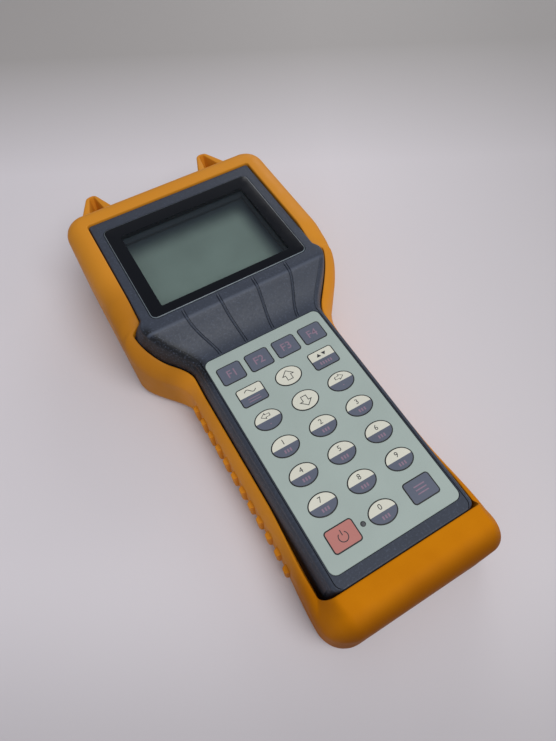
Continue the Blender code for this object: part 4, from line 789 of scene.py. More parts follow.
def holster_points(settings):
    """The holster as a closed ring of closed sections. Each section runs from the back lip round the
    foot, up the outer wall, over a rounded edge that is a quarter of an oval on head and bumper and
    nearly straight along the grip, across the rim, and down inside the cavity."""
    sides = holster_sides(settings)
    cavity_tail, cavity_head = CASE_LOW.y - GAP, CASE_HIGH.y + GAP
    outer = half_outline(outer_half, TAIL_Y, HEAD_Y, *HOLSTER_ROUNDS, sides)
    cavity = half_outline(
        cavity_half, cavity_tail, cavity_head, CASE_ROUNDS[0] + GAP, CASE_ROUNDS[1] + GAP, sides)
    lip = half_outline(lip_half, LIP_TAIL, LIP_HEAD, LIP_TAIL_ROUND, FRONT_HEAD_ROUND + GAP, sides)
    back = half_outline(
        back_half, cavity_tail + BACK_LIP, cavity_head - BACK_LIP, BACK_ROUND, BACK_ROUND, sides)
    rim, under = rim_and_under(sides)
    inward, foot = lip - outer, back - outer
    reach = np.linalg.norm(inward, axis=1, keepdims=True)
    inward = inward / reach
    foot = foot / np.linalg.norm(foot, axis=1, keepdims=True)
    width = np.minimum(EDGE_ROUND, reach - 0.7 * MM)
    y = outer[:, 1:]
    grip = ease(y, *BUMPER_RUN) * (1.0 - ease(y, *OUTER_NECK))
    fall, fullness = mix(EDGE_FALL, GRIP_EDGE_FALL, grip), mix(1.0, GRIP_FULLNESS, grip)

    quarter = np.linspace(0.0, np.pi / 2, 6)
    sections = [stretch(back, 0.0)]
    for turn in quarter:
        out, up = FOOT_ROUND * (1 - math.sin(turn)), FOOT_ROUND * (1 - math.cos(turn))
        sections.append(stretch(outer + foot * out, up))
    sections += rib_sections(settings, outer)
    for share in (0.25, 0.5, 0.75):
        sections.append(stretch(outer, mix(RIB_ROWS[-1], rim[:, None] - fall, share)))
    for share in np.linspace(0.0, 1.0, 15):
        turn = math.pi / 2 * share
        across = mix(share, 1 - math.cos(turn), fullness)
        down = mix(1 - share, 1 - math.sin(turn), fullness)
        sections.append(stretch(outer + inward * width * across, rim[:, None] - fall * down))
    for turn in quarter:
        place = lip - inward * LIP_EDGE * (1 - math.sin(turn))
        sections.append(stretch(place, rim[:, None] - LIP_EDGE * (1 - math.cos(turn))))
    for place, height in (
            (lip, mix(rim, under, 0.5)), (lip, under), (cavity, under - 0.3 * MM),
            (cavity, mix(under, CAVITY_FLOOR, 0.5)), (cavity, CAVITY_FLOOR), (back, CAVITY_FLOOR)):
        sections.append(stretch(place, height))
    right = np.stack(sections, axis=1)
    left = right[::-1][1:-1] * np.array([-1.0, 1.0, 1.0])
    return np.concatenate([right, left])


def rounded_corners(corners, radius, steps=5):
    """A polygon with each corner replaced by a curve that starts and ends radius away from it:
    (1-t)^2 start + 2t(1-t) corner + t^2 end."""
    before, after = np.roll(corners, 1, axis=0), np.roll(corners, -1, axis=0)
    start = corners + (before - corners) * (radius / np.linalg.norm(before - corners, axis=1))[:, None]
    end = corners + (after - corners) * (radius / np.linalg.norm(after - corners, axis=1))[:, None]
    t = np.linspace(0.0, 1.0, steps)[None, :, None]
    curve = (1 - t) ** 2 * start[:, None] + 2 * t * (1 - t) * corners[:, None] + t ** 2 * end[:, None]
    return curve.reshape(-1, 2)


def ear_corners(margin):
    """Plan of the right ear, narrowing to its tip, drawn in by margin."""
    share = margin / (EAR_TIP_Y - HEAD_Y)
    near = mix(EAR_FOOT_FAR - EAR_FOOT_WIDTH, EAR_TIP_FAR - EAR_TIP_WIDTH, share) + margin
    far = mix(EAR_FOOT_FAR, EAR_TIP_FAR, share) - margin
    middle, half = EAR_TIP_FAR - EAR_TIP_WIDTH / 2, (EAR_TIP_WIDTH - margin) / 2
    tip = EAR_TIP_Y - margin
    return np.array([[near, EAR_START], [far, EAR_START], [middle + half, tip], [middle - half, tip]])


def hollow_corners(settings):
    """Plan of the right ear's hollow: a thin wall at the tip, and wider ones at its other sides."""
    tip = EAR_TIP_Y - settings.ear_wall
    return np.array([
        [HOLLOW_NEAR, HOLLOW_START], [HOLLOW_FAR, HOLLOW_START], [HOLLOW_FAR - HOLLOW_FAR_LEAN, tip],
        [HOLLOW_NEAR + HOLLOW_NEAR_LEAN, tip]])


def ear_parts(settings, side):
    """A cup: outer loops rise with rounded edges, turn over the hollow's rounded rim, and go down
    to a smaller floor."""
    rings = []
    for level, inward, turns in (
            (EAR_LOW, 1, np.linspace(0.0, np.pi / 2, 5)), (EAR_TOP, -1, np.linspace(np.pi / 2, 0.0, 5))):
        for turn in turns:
            height = level + inward * EAR_EDGE * (1 - math.cos(turn))
            rings.append((ear_corners(EAR_EDGE * (1 - math.sin(turn))), EAR_CORNER, height))
    inner = hollow_corners(settings)
    middle = inner.mean(axis=0)
    levels = [(1.0 + HOLLOW_FLARE * (1 - math.sin(turn)), HOLLOW_EDGE * (1 - math.cos(turn)))
              for turn in np.linspace(0.0, np.pi / 2, 4)[:-1]]
    levels += [(mix(1.0, HOLLOW_FLOOR_SHARE, share), mix(HOLLOW_EDGE, settings.ear_depth, share))
               for share in np.linspace(0.0, 1.0, 8)]
    for size, drop in levels:
        rings.append((middle + (inner - middle) * size, HOLLOW_CORNER * size, EAR_TOP - drop))
    loops = [at_height(rounded_corners(corners, radius), height) for corners, radius, height in rings]
    return solid(np.stack(loops) * np.array([side, 1.0, 1.0]))


# Shape of the front half of the case


def groove_lines(y, front):
    """Half-width places of the two grooves, which fan out up the ramp in a smooth S."""
    fan = mix(GROOVE_FOOT_SHARE, 1.0, ease(y, along(-107.5), along(-88.0)))
    return [np.minimum(WINDOW_HALF * at * fan, limit * front)
            for at, limit in zip(GROOVE_AT, GROOVE_LIMIT)]


def case_points(settings, y_outer, inset):
    """Half of the front shell as rows along y and columns across: flat front with two grooves that
    curve, a rounded edge, a flank that follows a quadratic curve to the seam, the ledge under the
    holster's lip, and the side wall down to the joint."""
    middle = (CASE_LOW.y + CASE_HIGH.y) / 2
    length = CASE_HIGH.y - CASE_LOW.y
    y = middle + (y_outer - middle) * (length - 2 * inset) / length
    raised = (y_outer >= FRONT_TAIL - 1e-9) & (y_outer <= FRONT_HEAD + 1e-9)
    half = case_half(y) - inset - corner_cut(
        y, CASE_LOW.y + inset, CASE_HIGH.y - inset, CASE_ROUNDS[0] - inset, CASE_ROUNDS[1] - inset)
    ledge = rim_height(y) - LEDGE_DROP - inset
    cut = corner_cut(y_outer, FRONT_TAIL, FRONT_HEAD, FRONT_TAIL_ROUND, FRONT_HEAD_ROUND)
    front = front_half(y) - inset - cut
    from_end = np.clip(np.minimum(y_outer - FRONT_TAIL, FRONT_HEAD - y_outer), 0.0, FRONT_NOSE)
    nose_drop = FRONT_NOSE - np.sqrt(FRONT_NOSE ** 2 - (FRONT_NOSE - from_end) ** 2)
    height = front_height(y) - inset - nose_drop
    turn = np.where(cut > 0, 1.0, ease(y, along(-84.0), LIP_TURN[0]))
    seam = np.minimum(lip_half(y) - GAP - inset, case_half(y) - TINY - inset) - cut
    seam_height = np.maximum(mix(rim_height(y) + 0.5 * MM - inset, ledge, turn), ledge + TINY)

    inner, outer = groove_lines(y, front)
    width = settings.groove_width / 2
    margin = GROOVE_REACH * width
    on_ramp = ease(y, along(-107.6), along(-105.8)) * (1 - ease(y, along(-85.4), along(-83.4)))
    depth = settings.groove_depth * on_ramp * (1.0 if inset == 0 else 0.0)
    columns = [(share * (inner - margin), height) for share in (0.0, 0.4, 0.75)]
    columns += [(inner + offset * width, height - depth * drop) for offset, drop in GROOVE_SECTION]
    columns += [(mix(inner + margin, outer - margin, share), height) for share in (0.25, 0.5, 0.75)]
    columns += [(outer + offset * width, height - depth * drop) for offset, drop in GROOVE_SECTION]
    columns += [(mix(outer + margin, front, share), height) for share in (0.3, 0.6, 0.85, 0.96)]
    neck = ease(y, along(-112.0), along(-100.0)) * (1 - ease(y, along(-92.0), along(-86.0)))
    edge = mix(2.2 + 0.6 * neck, 0.7, ease(y, along(-87.0), along(-80.0))) * MM
    for angle in np.linspace(0.0, np.pi / 2, 8):
        columns.append((front + edge * (math.sin(angle) - 0.3), height - edge * (1 - math.cos(angle))))
    start = (front + edge * 0.7, height - edge)
    knee = (mix(start[0], seam, 0.68), mix(start[1], seam_height, 0.3))
    for t in np.linspace(0.0, 1.0, 11)[1:]:
        columns.append(tuple(
            (1 - t) ** 2 * a + 2 * t * (1 - t) * b + t ** 2 * c
            for a, b, c in zip(start, knee, (seam, seam_height))))
    flat = len(columns)
    step_low = ledge - SEAM_STEP
    columns += [(np.maximum(seam, half - SEAM_STEP), ledge), (half, step_low),
                (half, mix(step_low, CASE_LOW.z, 0.5)), (half, np.full(len(y), CASE_LOW.z))]
    x = np.stack([column[0] for column in columns], axis=1)
    z = np.stack([np.broadcast_to(column[1], y.shape) for column in columns], axis=1)
    plain_x = np.outer(half - SEAM_STEP, np.linspace(0.0, 1.0, flat))
    x[:, :flat] = np.where(raised[:, None], x[:, :flat], plain_x)
    z[:, :flat] = np.where(raised[:, None], z[:, :flat], ledge[:, None])
    rows = np.stack([x, np.repeat(y[:, None], x.shape[1], axis=1), z], axis=2)
    foot = rows[[0, -1]].copy()
    foot[:, :, 2] = CASE_LOW.z
    rows = np.concatenate([foot[:1], rows, foot[1:]])
    left = rows[:, ::-1] * np.array([-1.0, 1.0, 1.0])
    return np.concatenate([left, rows[:, 1:]], axis=1)


def case_rows():
    """Every y of the shell's rows: close together at the ends, the steps and on the ramp."""
    bend = 1 - np.cos(np.linspace(0.0, np.pi / 2, 14))
    fine = np.linspace(0.0, FRONT_NOSE, 6)
    runs = [
        CASE_LOW.y + CASE_ROUNDS[0] * bend, CASE_HIGH.y - CASE_ROUNDS[1] * bend,
        FRONT_TAIL + FRONT_TAIL_ROUND * bend, FRONT_HEAD - FRONT_HEAD_ROUND * bend,
        FRONT_TAIL + fine, FRONT_HEAD - fine, [FRONT_TAIL - 0.2 * MM, FRONT_HEAD + 0.2 * MM],
        np.arange(along(26.0), along(-116.0), 3.0 * MM), np.arange(along(-115.0), along(-62.0), 0.5 * MM),
        np.arange(along(-61.0), along(-17.0), 3.0 * MM)]
    rows = np.unique(np.concatenate(runs))
    return rows[np.append(np.diff(rows) > 0.02 * MM, True)]


# Keys and their marks


TOP_ROW = [f"key_f{n}" for n in range(1, 5)]
KEY_NAMES = TOP_ROW + [
    "key_mhz", "key_up", "key_channel", "key_left", "key_down", "key_right"] + [
    f"key_{n}" for n in range(1, 10)] + ["key_power", "key_0", "key_menu"]
SQUARE_KEYS = {*TOP_ROW, "key_mhz", "key_channel", "key_power", "key_menu"}
CREAM, SLATE, BLACK_LINE, SALMON, BLACK_MARK, FAINT_MARK = range(6)
WHOLE_TONE = {
    **dict.fromkeys(TOP_ROW + ["key_menu"], SLATE), "key_power": SALMON, "key_up": CREAM, "key_down": CREAM}
KEY_BODY_SLOT = {CREAM: "key_cream", SLATE: "key_slate", SALMON: "key_salmon"}
FLANGE = 0.8 * MM
KEY_CORNER = 1.2 * MM
KEY_EDGE = 0.12 * MM
KEY_PROUD = 0.14 * MM
CAP_DEPTH = 1.4 * MM
CAP_STEP = 0.6 * MM
INK_PROUD, INK_DEPTH = 0.02 * MM, 0.1 * MM
LINE_WIDTH = 0.32 * MM
LED_RADIUS = 1.0 * MM
ARROW = np.array([
    [0.0, 2.1], [2.0, 0.3], [0.95, 0.3], [0.95, -1.5], [-0.95, -1.5], [-0.95, 0.3], [-2.0, 0.3]])[::-1]
ARROW_TURNS = {"key_up": 0.0, "key_down": math.pi, "key_left": math.pi / 2, "key_right": -math.pi / 2}


def key_body(name):
    return name.replace("key_", "") + "_key"


def key_place(name):
    """Middle, length and width of a key's face, from its node's box without the flange."""
    low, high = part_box(name)
    middle = np.array([(low.x + high.x) / 2, (low.y + high.y) / 2])
    return middle, high.x - low.x - 2 * FLANGE, high.y - low.y - 2 * FLANGE


def key_top(name):
    """A key stands a little proud of the film, and never above its solid."""
    return min(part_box(name)[1].z, LABEL_HIGH.z + KEY_PROUD)


def key_outline(name, margin):
    """The key's plan outline, moved out by margin."""
    middle, length, width = key_place(name)
    if name in SQUARE_KEYS:
        radius = max(KEY_CORNER + margin, 0.2 * MM)
        loop = rounded_loop(length / 2 + margin, -width / 2 - margin, width / 2 + margin, radius, 6)
    else:
        loop = oval_loop(length + 2 * margin, width + 2 * margin)
    return middle + loop


def key_parts(name, settings):
    """A key: side wall, rounded edge, black line, and a face that is whole or split across its
    middle into an upper and a lower tone."""
    wall, step, top = GAP - settings.key_gap, LABEL_PLANE - CAP_DEPTH, key_top(name)
    profile = [(wall - CAP_STEP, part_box(name)[0].z), (wall - CAP_STEP, step), (wall, step)]
    profile += [(wall - KEY_EDGE * (1 - math.cos(t)), top - KEY_EDGE * (1 - math.sin(t)))
                for t in np.linspace(0.0, np.pi / 2, 5)]
    profile.append((wall - KEY_EDGE - settings.line, top))
    rings = np.stack([at_height(key_outline(name, margin), height) for margin, height in profile])
    rows, columns = rings.shape[:2]
    faces = grid_faces(rows, columns, close_columns=True).tolist()
    slots = [BLACK_LINE] * len(faces) + [SLATE]
    faces.append(list(range(columns)))
    last = list(range((rows - 1) * columns, rows * columns))
    half = columns // 2
    if name in WHOLE_TONE:
        faces.append(last)
        slots.append(WHOLE_TONE[name])
    else:
        faces += [last[:half + 1], last[half:] + last[:1]]
        slots += [CREAM, SLATE]
    return rings.reshape(-1, 3), faces, slots


def pen_stroke(path, width):
    """Left and right lines of a pen stroke along a path: the path moved half a width either way
    along its normal."""
    step = np.gradient(path, axis=0)
    step = step / np.linalg.norm(step, axis=1, keepdims=True)
    normal = np.stack([-step[:, 1], step[:, 0]], axis=1)
    return path + normal * width / 2, path - normal * width / 2


def pen_outline(points, width):
    """Outer and inner loops of a closed outline drawn with a pen of that width, with sharp corners."""
    before = points - np.roll(points, 1, axis=0)
    after = np.roll(points, -1, axis=0) - points
    before = before / np.linalg.norm(before, axis=1, keepdims=True)
    after = after / np.linalg.norm(after, axis=1, keepdims=True)
    normal_before = np.stack([before[:, 1], -before[:, 0]], axis=1)
    normal_after = np.stack([after[:, 1], -after[:, 0]], axis=1)
    mitre = normal_before + normal_after
    mitre = mitre / (1 + (normal_before * normal_after).sum(axis=1, keepdims=True))
    return points + mitre * width / 2, points - mitre * width / 2


def bar(length):
    return np.array([[-length / 2, 0.0], [0.0, 0.0], [length / 2, 0.0]])


def arc(radius, start, end):
    """Part of a circle between two angles in degrees."""
    turns = np.linspace(math.radians(start), math.radians(end), 40)
    return radius * np.stack([np.cos(turns), np.sin(turns)], axis=1)


def wave(length, height):
    """One turn of a sine wave."""
    x = np.linspace(-length / 2, length / 2, 48)
    return np.stack([x, -height / 2 * np.sin(x / length * 2 * np.pi)], axis=1)


def drawn(path, width, place, heights, ink):
    """A pen stroke printed at a place between two heights, with its ink."""
    left, right = pen_stroke(path, width)
    return (*ribbon_solid(place + left, place + right, *heights), ink)


def dashes(place, count, heights):
    """A row of count short upright dashes in the faint ink, centred on the place."""
    shifts = (np.arange(count) - (count - 1) / 2) * 1.25 * MM
    return [drawn(bar(0.7 * MM), 1.5 * MM, place + [shift, 0.0], heights, FAINT_MARK) for shift in shifts]


def arrow(place, turn, scale, heights):
    """A hollow block arrow that points up, turned by a right angle's multiple."""
    spin = np.array([[math.cos(turn), math.sin(turn)], [-math.sin(turn), math.cos(turn)]])
    left, right = pen_outline(scale * ARROW * MM @ spin, LINE_WIDTH)
    return ribbon_solid(place + left, place + right, *heights, closed=True)


def triangle(place, half, sign, heights):
    """A filled triangle that points up where sign is 1 and down where it is -1."""
    loop = np.array([[-half, -half * 0.7], [half, -half * 0.7], [0.0, half * 0.8]]) * np.array([1.0, sign])
    return (*plate_solid(place + loop[::sign], *heights), BLACK_MARK)


def letters(text, size, place, heights, weight=0.0):
    """Text in the plain built-in face, its strokes widened by weight, made a mesh and centred."""
    low, high = heights
    curve = bpy.data.curves.new("digit", "FONT")
    curve.body = text
    curve.size = size
    curve.extrude = (high - low) / 2
    curve.offset = weight
    curve.resolution_u = 4
    item = bpy.data.objects.new("digit", curve)
    bpy.context.scene.collection.objects.link(item)
    bpy.context.view_layer.update()
    mesh = item.evaluated_get(bpy.context.evaluated_depsgraph_get()).to_mesh()
    points = np.empty(len(mesh.vertices) * 3)
    mesh.vertices.foreach_get("co", points)
    points = points.reshape(-1, 3)
    faces = [list(face.vertices) for face in mesh.polygons]
    bpy.data.objects.remove(item)
    bpy.data.curves.remove(curve)
    points[:, :2] -= (points[:, :2].min(axis=0) + points[:, :2].max(axis=0)) / 2
    points[:, :2] += place
    points[:, 2] += (low + high) / 2
    return points, faces


def key_marks(name):
    """The printed marks of one key, each with its ink. A key of two tones has a black mark on its
    upper half and a faint one on its lower half."""
    middle, _, width = key_place(name)
    top = key_top(name) + INK_PROUD
    heights = top - INK_DEPTH, top
    upper, lower = middle + [0.0, width * 0.23], middle - [0.0, width * 0.24]
    if name in TOP_ROW:
        return [(*letters("F" + name[-1], 5.4 * MM, middle, heights, 0.05 * MM), FAINT_MARK)]
    if name == "key_power":
        return [
            drawn(arc(1.95 * MM, 128, 412), 0.36 * MM, middle - [0, 0.2 * MM], heights, BLACK_MARK),
            drawn(bar(0.36 * MM), 2.2 * MM, middle + [0, 1.5 * MM], heights, BLACK_MARK)]
    if name == "key_menu":
        return [drawn(bar(5.0 * MM), 0.5 * MM, middle + [0, up * MM], heights, FAINT_MARK)
                for up in (-1.5, 0.0, 1.5)]
    if name == "key_mhz":
        return [drawn(wave(5.4 * MM, 1.9 * MM), LINE_WIDTH, upper, heights, BLACK_MARK)] + [
            drawn(bar(5.6 * MM), 0.4 * MM, lower + [0, up * MM], heights, FAINT_MARK) for up in (0.6, -0.7)]
    if name == "key_channel":
        return [triangle(upper - sign * np.array([1.4 * MM, 0]), 1.1 * MM, sign, heights)
                for sign in (1, -1)] + dashes(lower, 5, heights)
    if name in ("key_up", "key_down"):
        return [(*arrow(middle, ARROW_TURNS[name], 1.32, heights), BLACK_MARK)]
    if name in ARROW_TURNS:
        points, faces = arrow(upper, ARROW_TURNS[name], 1.1, heights)
        points = points.copy()
        points[:, :2] = upper + (points[:, :2] - upper) * [1.0, 0.6]
        return [(points, faces, BLACK_MARK), drawn(bar(0.5 * MM), 0.5 * MM, lower, heights, FAINT_MARK)]
    return [(*letters(name[-1], 3.3 * MM, upper, heights), BLACK_MARK), *dashes(lower, 3, heights)]


def view_loop(settings, margin):
    """The clear opening under the window, moved out by margin."""
    return rounded_loop(
        settings.view_half + margin, WINDOW_LOW.y + 5.2 * MM - margin, WINDOW_HIGH.y - 8.0 * MM + margin,
        0.6 * MM + margin)


def led_loop(margin):
    """The round of the power light, moved out by margin."""
    middle = np.array([(LED_LOW.x + LED_HIGH.x) / 2, (LED_LOW.y + LED_HIGH.y) / 2])
    return middle + oval_loop(*(2 * (LED_RADIUS + margin),) * 2, 32)


def panel_loop(half, low, high, margin):
    """The round-cornered rectangle of the window or the label, moved out by margin."""
    return rounded_loop(half + margin, low.y - margin, high.y + margin, PANEL_ROUND + margin)


# Operators


class METER_OT_holster(bpy.types.Operator):
    """Moulds the rubber holster with its grip ribs and hollow ears"""
    bl_idname = "meter.holster"
    bl_label = "Holster"

    def execute(self, context):
        settings = context.scene.meter_holster
        rubber = rubber_material("orange_rubber", settings.rubber)
        points, faces = solid(holster_points(settings), close_rows=True)
        skin = make_piece("holster_skin", points, faces, [rubber])
        mouth = rounded_loop(PORT_HALF, SOCKET_HEIGHT - PORT_RISE, SOCKET_HEIGHT + PORT_RISE, PORT_ROUND)
        port = np.stack([
            np.column_stack([mouth[:, 0], np.full(len(mouth), y), mouth[:, 1]])
            for y in (CASE_HIGH.y - 4 * MM, HEAD_Y + 8 * MM)])
        carve(skin, [ear_parts(settings, side) for side in (-1, 1)], "UNION", "MANIFOLD")
        carve(skin, [solid(port)], solver="MANIFOLD")
        smooth(skin, 50.0)
        ride_on(skin, "meter", "holster_rubber", "holster")
        return {"FINISHED"}


class METER_OT_case(bpy.types.Operator):
    """Moulds the textured front shell with its ramp, grooves and openings"""
    bl_idname = "meter.case"
    bl_label = "Case"

    def execute(self, context):
        settings = context.scene.meter_case
        plastic = case_material("textured_slate_plastic", settings.plastic)
        rows = case_rows()
        points, faces = double_skin(
            case_points(settings, rows, 0.0), case_points(settings, rows, CASE_WALL))
        shell = make_piece("front_shell", points, faces, [plastic])
        recess = panel_loop(WINDOW_HALF, WINDOW_LOW, WINDOW_HIGH, GAP)
        tray = panel_loop(LABEL_HALF, LABEL_LOW, LABEL_HIGH, GAP)
        shallow = [
            plate_solid(recess, WINDOW_LOW.z - GAP, WINDOW_HIGH.z + 5 * MM),
            plate_solid(tray, LABEL_LOW.z - GAP, LABEL_PLANE + 3 * MM)]
        for x, radius in ((0.0, INPUT_RADIUS + GAP), (JACK_X, JACK_RADIUS + GAP)):
            ends = (CASE_HIGH.y - 4 * MM, CASE_HIGH.y + 2 * MM)
            shallow.append(solid(turned_points([radius, radius], ends, (x, 0.0, SOCKET_HEIGHT), axis="y")))
        carve(shell, shallow)
        deep = [plate_solid(view_loop(context.scene.meter_display, 0.0), BEZEL_TOP, WINDOW_HIGH.z)]
        low, high = LABEL_PLANE - 5 * MM, LABEL_PLANE + 1 * MM
        deep += [plate_solid(key_outline(name, GAP), low, high) for name in KEY_NAMES]
        deep.append(plate_solid(led_loop(GAP), low, high))
        carve(shell, deep)
        smooth(shell, 32.0)
        ride_on(shell, "meter", "case_plastic", "front_case")
        dress("back_case", plastic)
        return {"FINISHED"}


class METER_OT_cover(bpy.types.Operator):
    """Makes the battery cover with its finger ridges"""
    bl_idname = "meter.cover"
    bl_label = "Battery cover"

    def execute(self, context):
        across, length = np.meshgrid(
            np.linspace(COVER_LOW.x, COVER_HIGH.x, 60), np.linspace(COVER_LOW.y, COVER_HIGH.y, 240))
        start, run, half, pitch = COVER_HIGH.y - 26 * MM, 14 * MM, 14 * MM, 2.0 * MM
        pad = ease(np.minimum(length - start, start + run - length), 0.0, 0.8 * MM)
        pad = pad * ease(half - np.abs(across), 0.0, 1.0 * MM)
        ridges = 0.25 * MM * (1 - np.cos((length - start) / pitch * 2 * np.pi)) * pad
        rim = np.minimum.reduce([
            across - COVER_LOW.x, COVER_HIGH.x - across, length - COVER_LOW.y, COVER_HIGH.y - length])
        chamfer = 0.5 * MM * (1 - ease(rim, 0.0, 0.9 * MM))
        points, faces = double_skin(
            np.stack([across, length, COVER_LOW.z + ridges + chamfer], axis=2),
            np.stack([across, length, np.full_like(across, COVER_HIGH.z)], axis=2))
        cover = make_piece(
            "battery_cover_panel", points, faces, [bpy.data.materials["textured_slate_plastic"]])
        screw_low, screw_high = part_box("battery_cover_screw")
        middle = (screw_low + screw_high) / 2
        wide, narrow, seat = 3.1 * MM, 1.5 * MM, COVER_LOW.z + 1.5 * MM
        places = (COVER_LOW.z - MM, seat, seat, COVER_HIGH.z + MM)
        carve(cover, [solid(turned_points([wide, wide, narrow, narrow], places, (*middle.xy, 0.0), 40))])
        smooth(cover, 40.0)
        ride_on(cover, "battery_cover", "case_plastic", "battery_cover")
        return {"FINISHED"}


class METER_OT_display(bpy.types.Operator):
    """Makes the window with its black border, the well under it and the display"""
    bl_idname = "meter.display"
    bl_label = "Display"

    def execute(self, context):
        settings = context.scene.meter_display
        self.make_window(settings)
        self.make_well(settings)
        dress("lcd_glass", display_material("liquid_crystal_glass", settings.screen))
        return {"FINISHED"}

    def make_window(self, settings):
        """Rings from the view's edge out under the sheet, up its side, over a rounded edge and back
        to the view, which is one face above and one below."""
        inner, edge = view_loop(settings, 0.0), 0.4 * MM
        rings = [at_height(inner, WINDOW_LOW.z),
                 at_height(panel_loop(WINDOW_HALF, WINDOW_LOW, WINDOW_HIGH, 0.0), WINDOW_LOW.z)]
        for turn in np.linspace(0.0, np.pi / 2, 5):
            loop = panel_loop(WINDOW_HALF, WINDOW_LOW, WINDOW_HIGH, -edge * (1 - math.cos(turn)))
            rings.append(at_height(loop, WINDOW_HIGH.z - edge * (1 - math.sin(turn))))
        rings.append(at_height(inner, WINDOW_HIGH.z))
        points, faces = solid(np.stack(rings))
        print_slot, edge_slot, clear_slot = 0, 1, 2
        strips = [print_slot] * 2 + [edge_slot] * 4 + [print_slot]
        slots = np.append(np.repeat(strips, len(inner)), [clear_slot] * 2)
        window = make_piece(
            "window_pane", points, faces,
            [border_material("black_window_print", settings.border), edge_material("acrylic_edge_painted_highlight"),
             pane_material("clear_acrylic")], slots)
        ride_on(window, "meter", "window_plastic", "lcd_window")

    def make_well(self, settings):
        wall, high, low = 1.5 * MM, WINDOW_LOW.z - GAP, BEZEL_TOP + GAP
        first, second = view_loop(settings, 0.0), view_loop(settings, wall)
        ring = np.stack([
            at_height(first, low), at_height(first, high), at_height(second, high), at_height(second, low)])
        well = make_piece(
            "display_well", *solid(ring, close_rows=True),
            [moulded("well_plastic", tone("#39424B"), 0.5, 0.4, specular=0.2)])
        ride_on(well, "meter", "case_plastic", "front_case")


class METER_OT_keypad(bpy.types.Operator):
    """Makes the label, the keys with their printed marks and the power light"""
    bl_idname = "meter.keypad"
    bl_label = "Keypad"

    def execute(self, context):
        settings = context.scene.meter_keypad
        self.make_label(settings)
        self.make_keys(settings)
        self.make_light()
        return {"FINISHED"}

    def make_label(self, settings):
        edge = 0.18 * MM
        label = make_piece("label_film", *solid(np.stack([
            at_height(panel_loop(LABEL_HALF, LABEL_LOW, LABEL_HIGH, -margin), height)
            for margin, height in ((0.0, LABEL_LOW.z), (0.0, LABEL_HIGH.z - edge), (edge, LABEL_HIGH.z))])),
            [film_material("pale_green_film", settings.film)])
        loops = [key_outline(name, GAP) for name in KEY_NAMES] + [led_loop(TINY)]
        carve(label, [plate_solid(loop, LABEL_LOW.z - MM, LABEL_HIGH.z + MM) for loop in loops])
        smooth(label, 30.0)
        ride_on(label, "meter", "label_film", "keypad_label")

    def make_keys(self, settings):
        inks = [
            film_material("cream_key_film", settings.cream),
            film_material("slate_key_film", settings.slate),
            ink_material("black_line_ink", tone("#121316")),
            film_material("salmon_key_film", settings.salmon),
            ink_material("black_mark_ink", tone("#24252A")), ink_material("faint_red_ink", settings.mark)]
        for name in KEY_NAMES:
            points, faces, slots = joined([key_parts(name, settings)] + key_marks(name))
            key = make_piece(name + "_cap", points, faces, inks, slots, angle=35.0)
            ride_on(key, key_body(name), KEY_BODY_SLOT[WHOLE_TONE.get(name, CREAM)], name)

    def make_light(self):
        """A low dome: radii as shares of the light's, at depths in mm under its top."""
        middle = (LED_LOW + LED_HIGH) / 2
        radii = np.array([0.0, 1.0, 1.0, 0.93, 0.72, 0.4, 0.0]) * LED_RADIUS
        places = [LED_LOW.z] * 2 + [LED_HIGH.z - down * MM for down in (0.7, 0.42, 0.17, 0.04, 0.0)]
        lens = make_piece(
            "power_light", *solid(turned_points(radii, places, (*middle.xy, 0.0), 32)),
            [lens_material("dark_lens")])
        ride_on(lens, "meter", "dark_lens", "power_led")


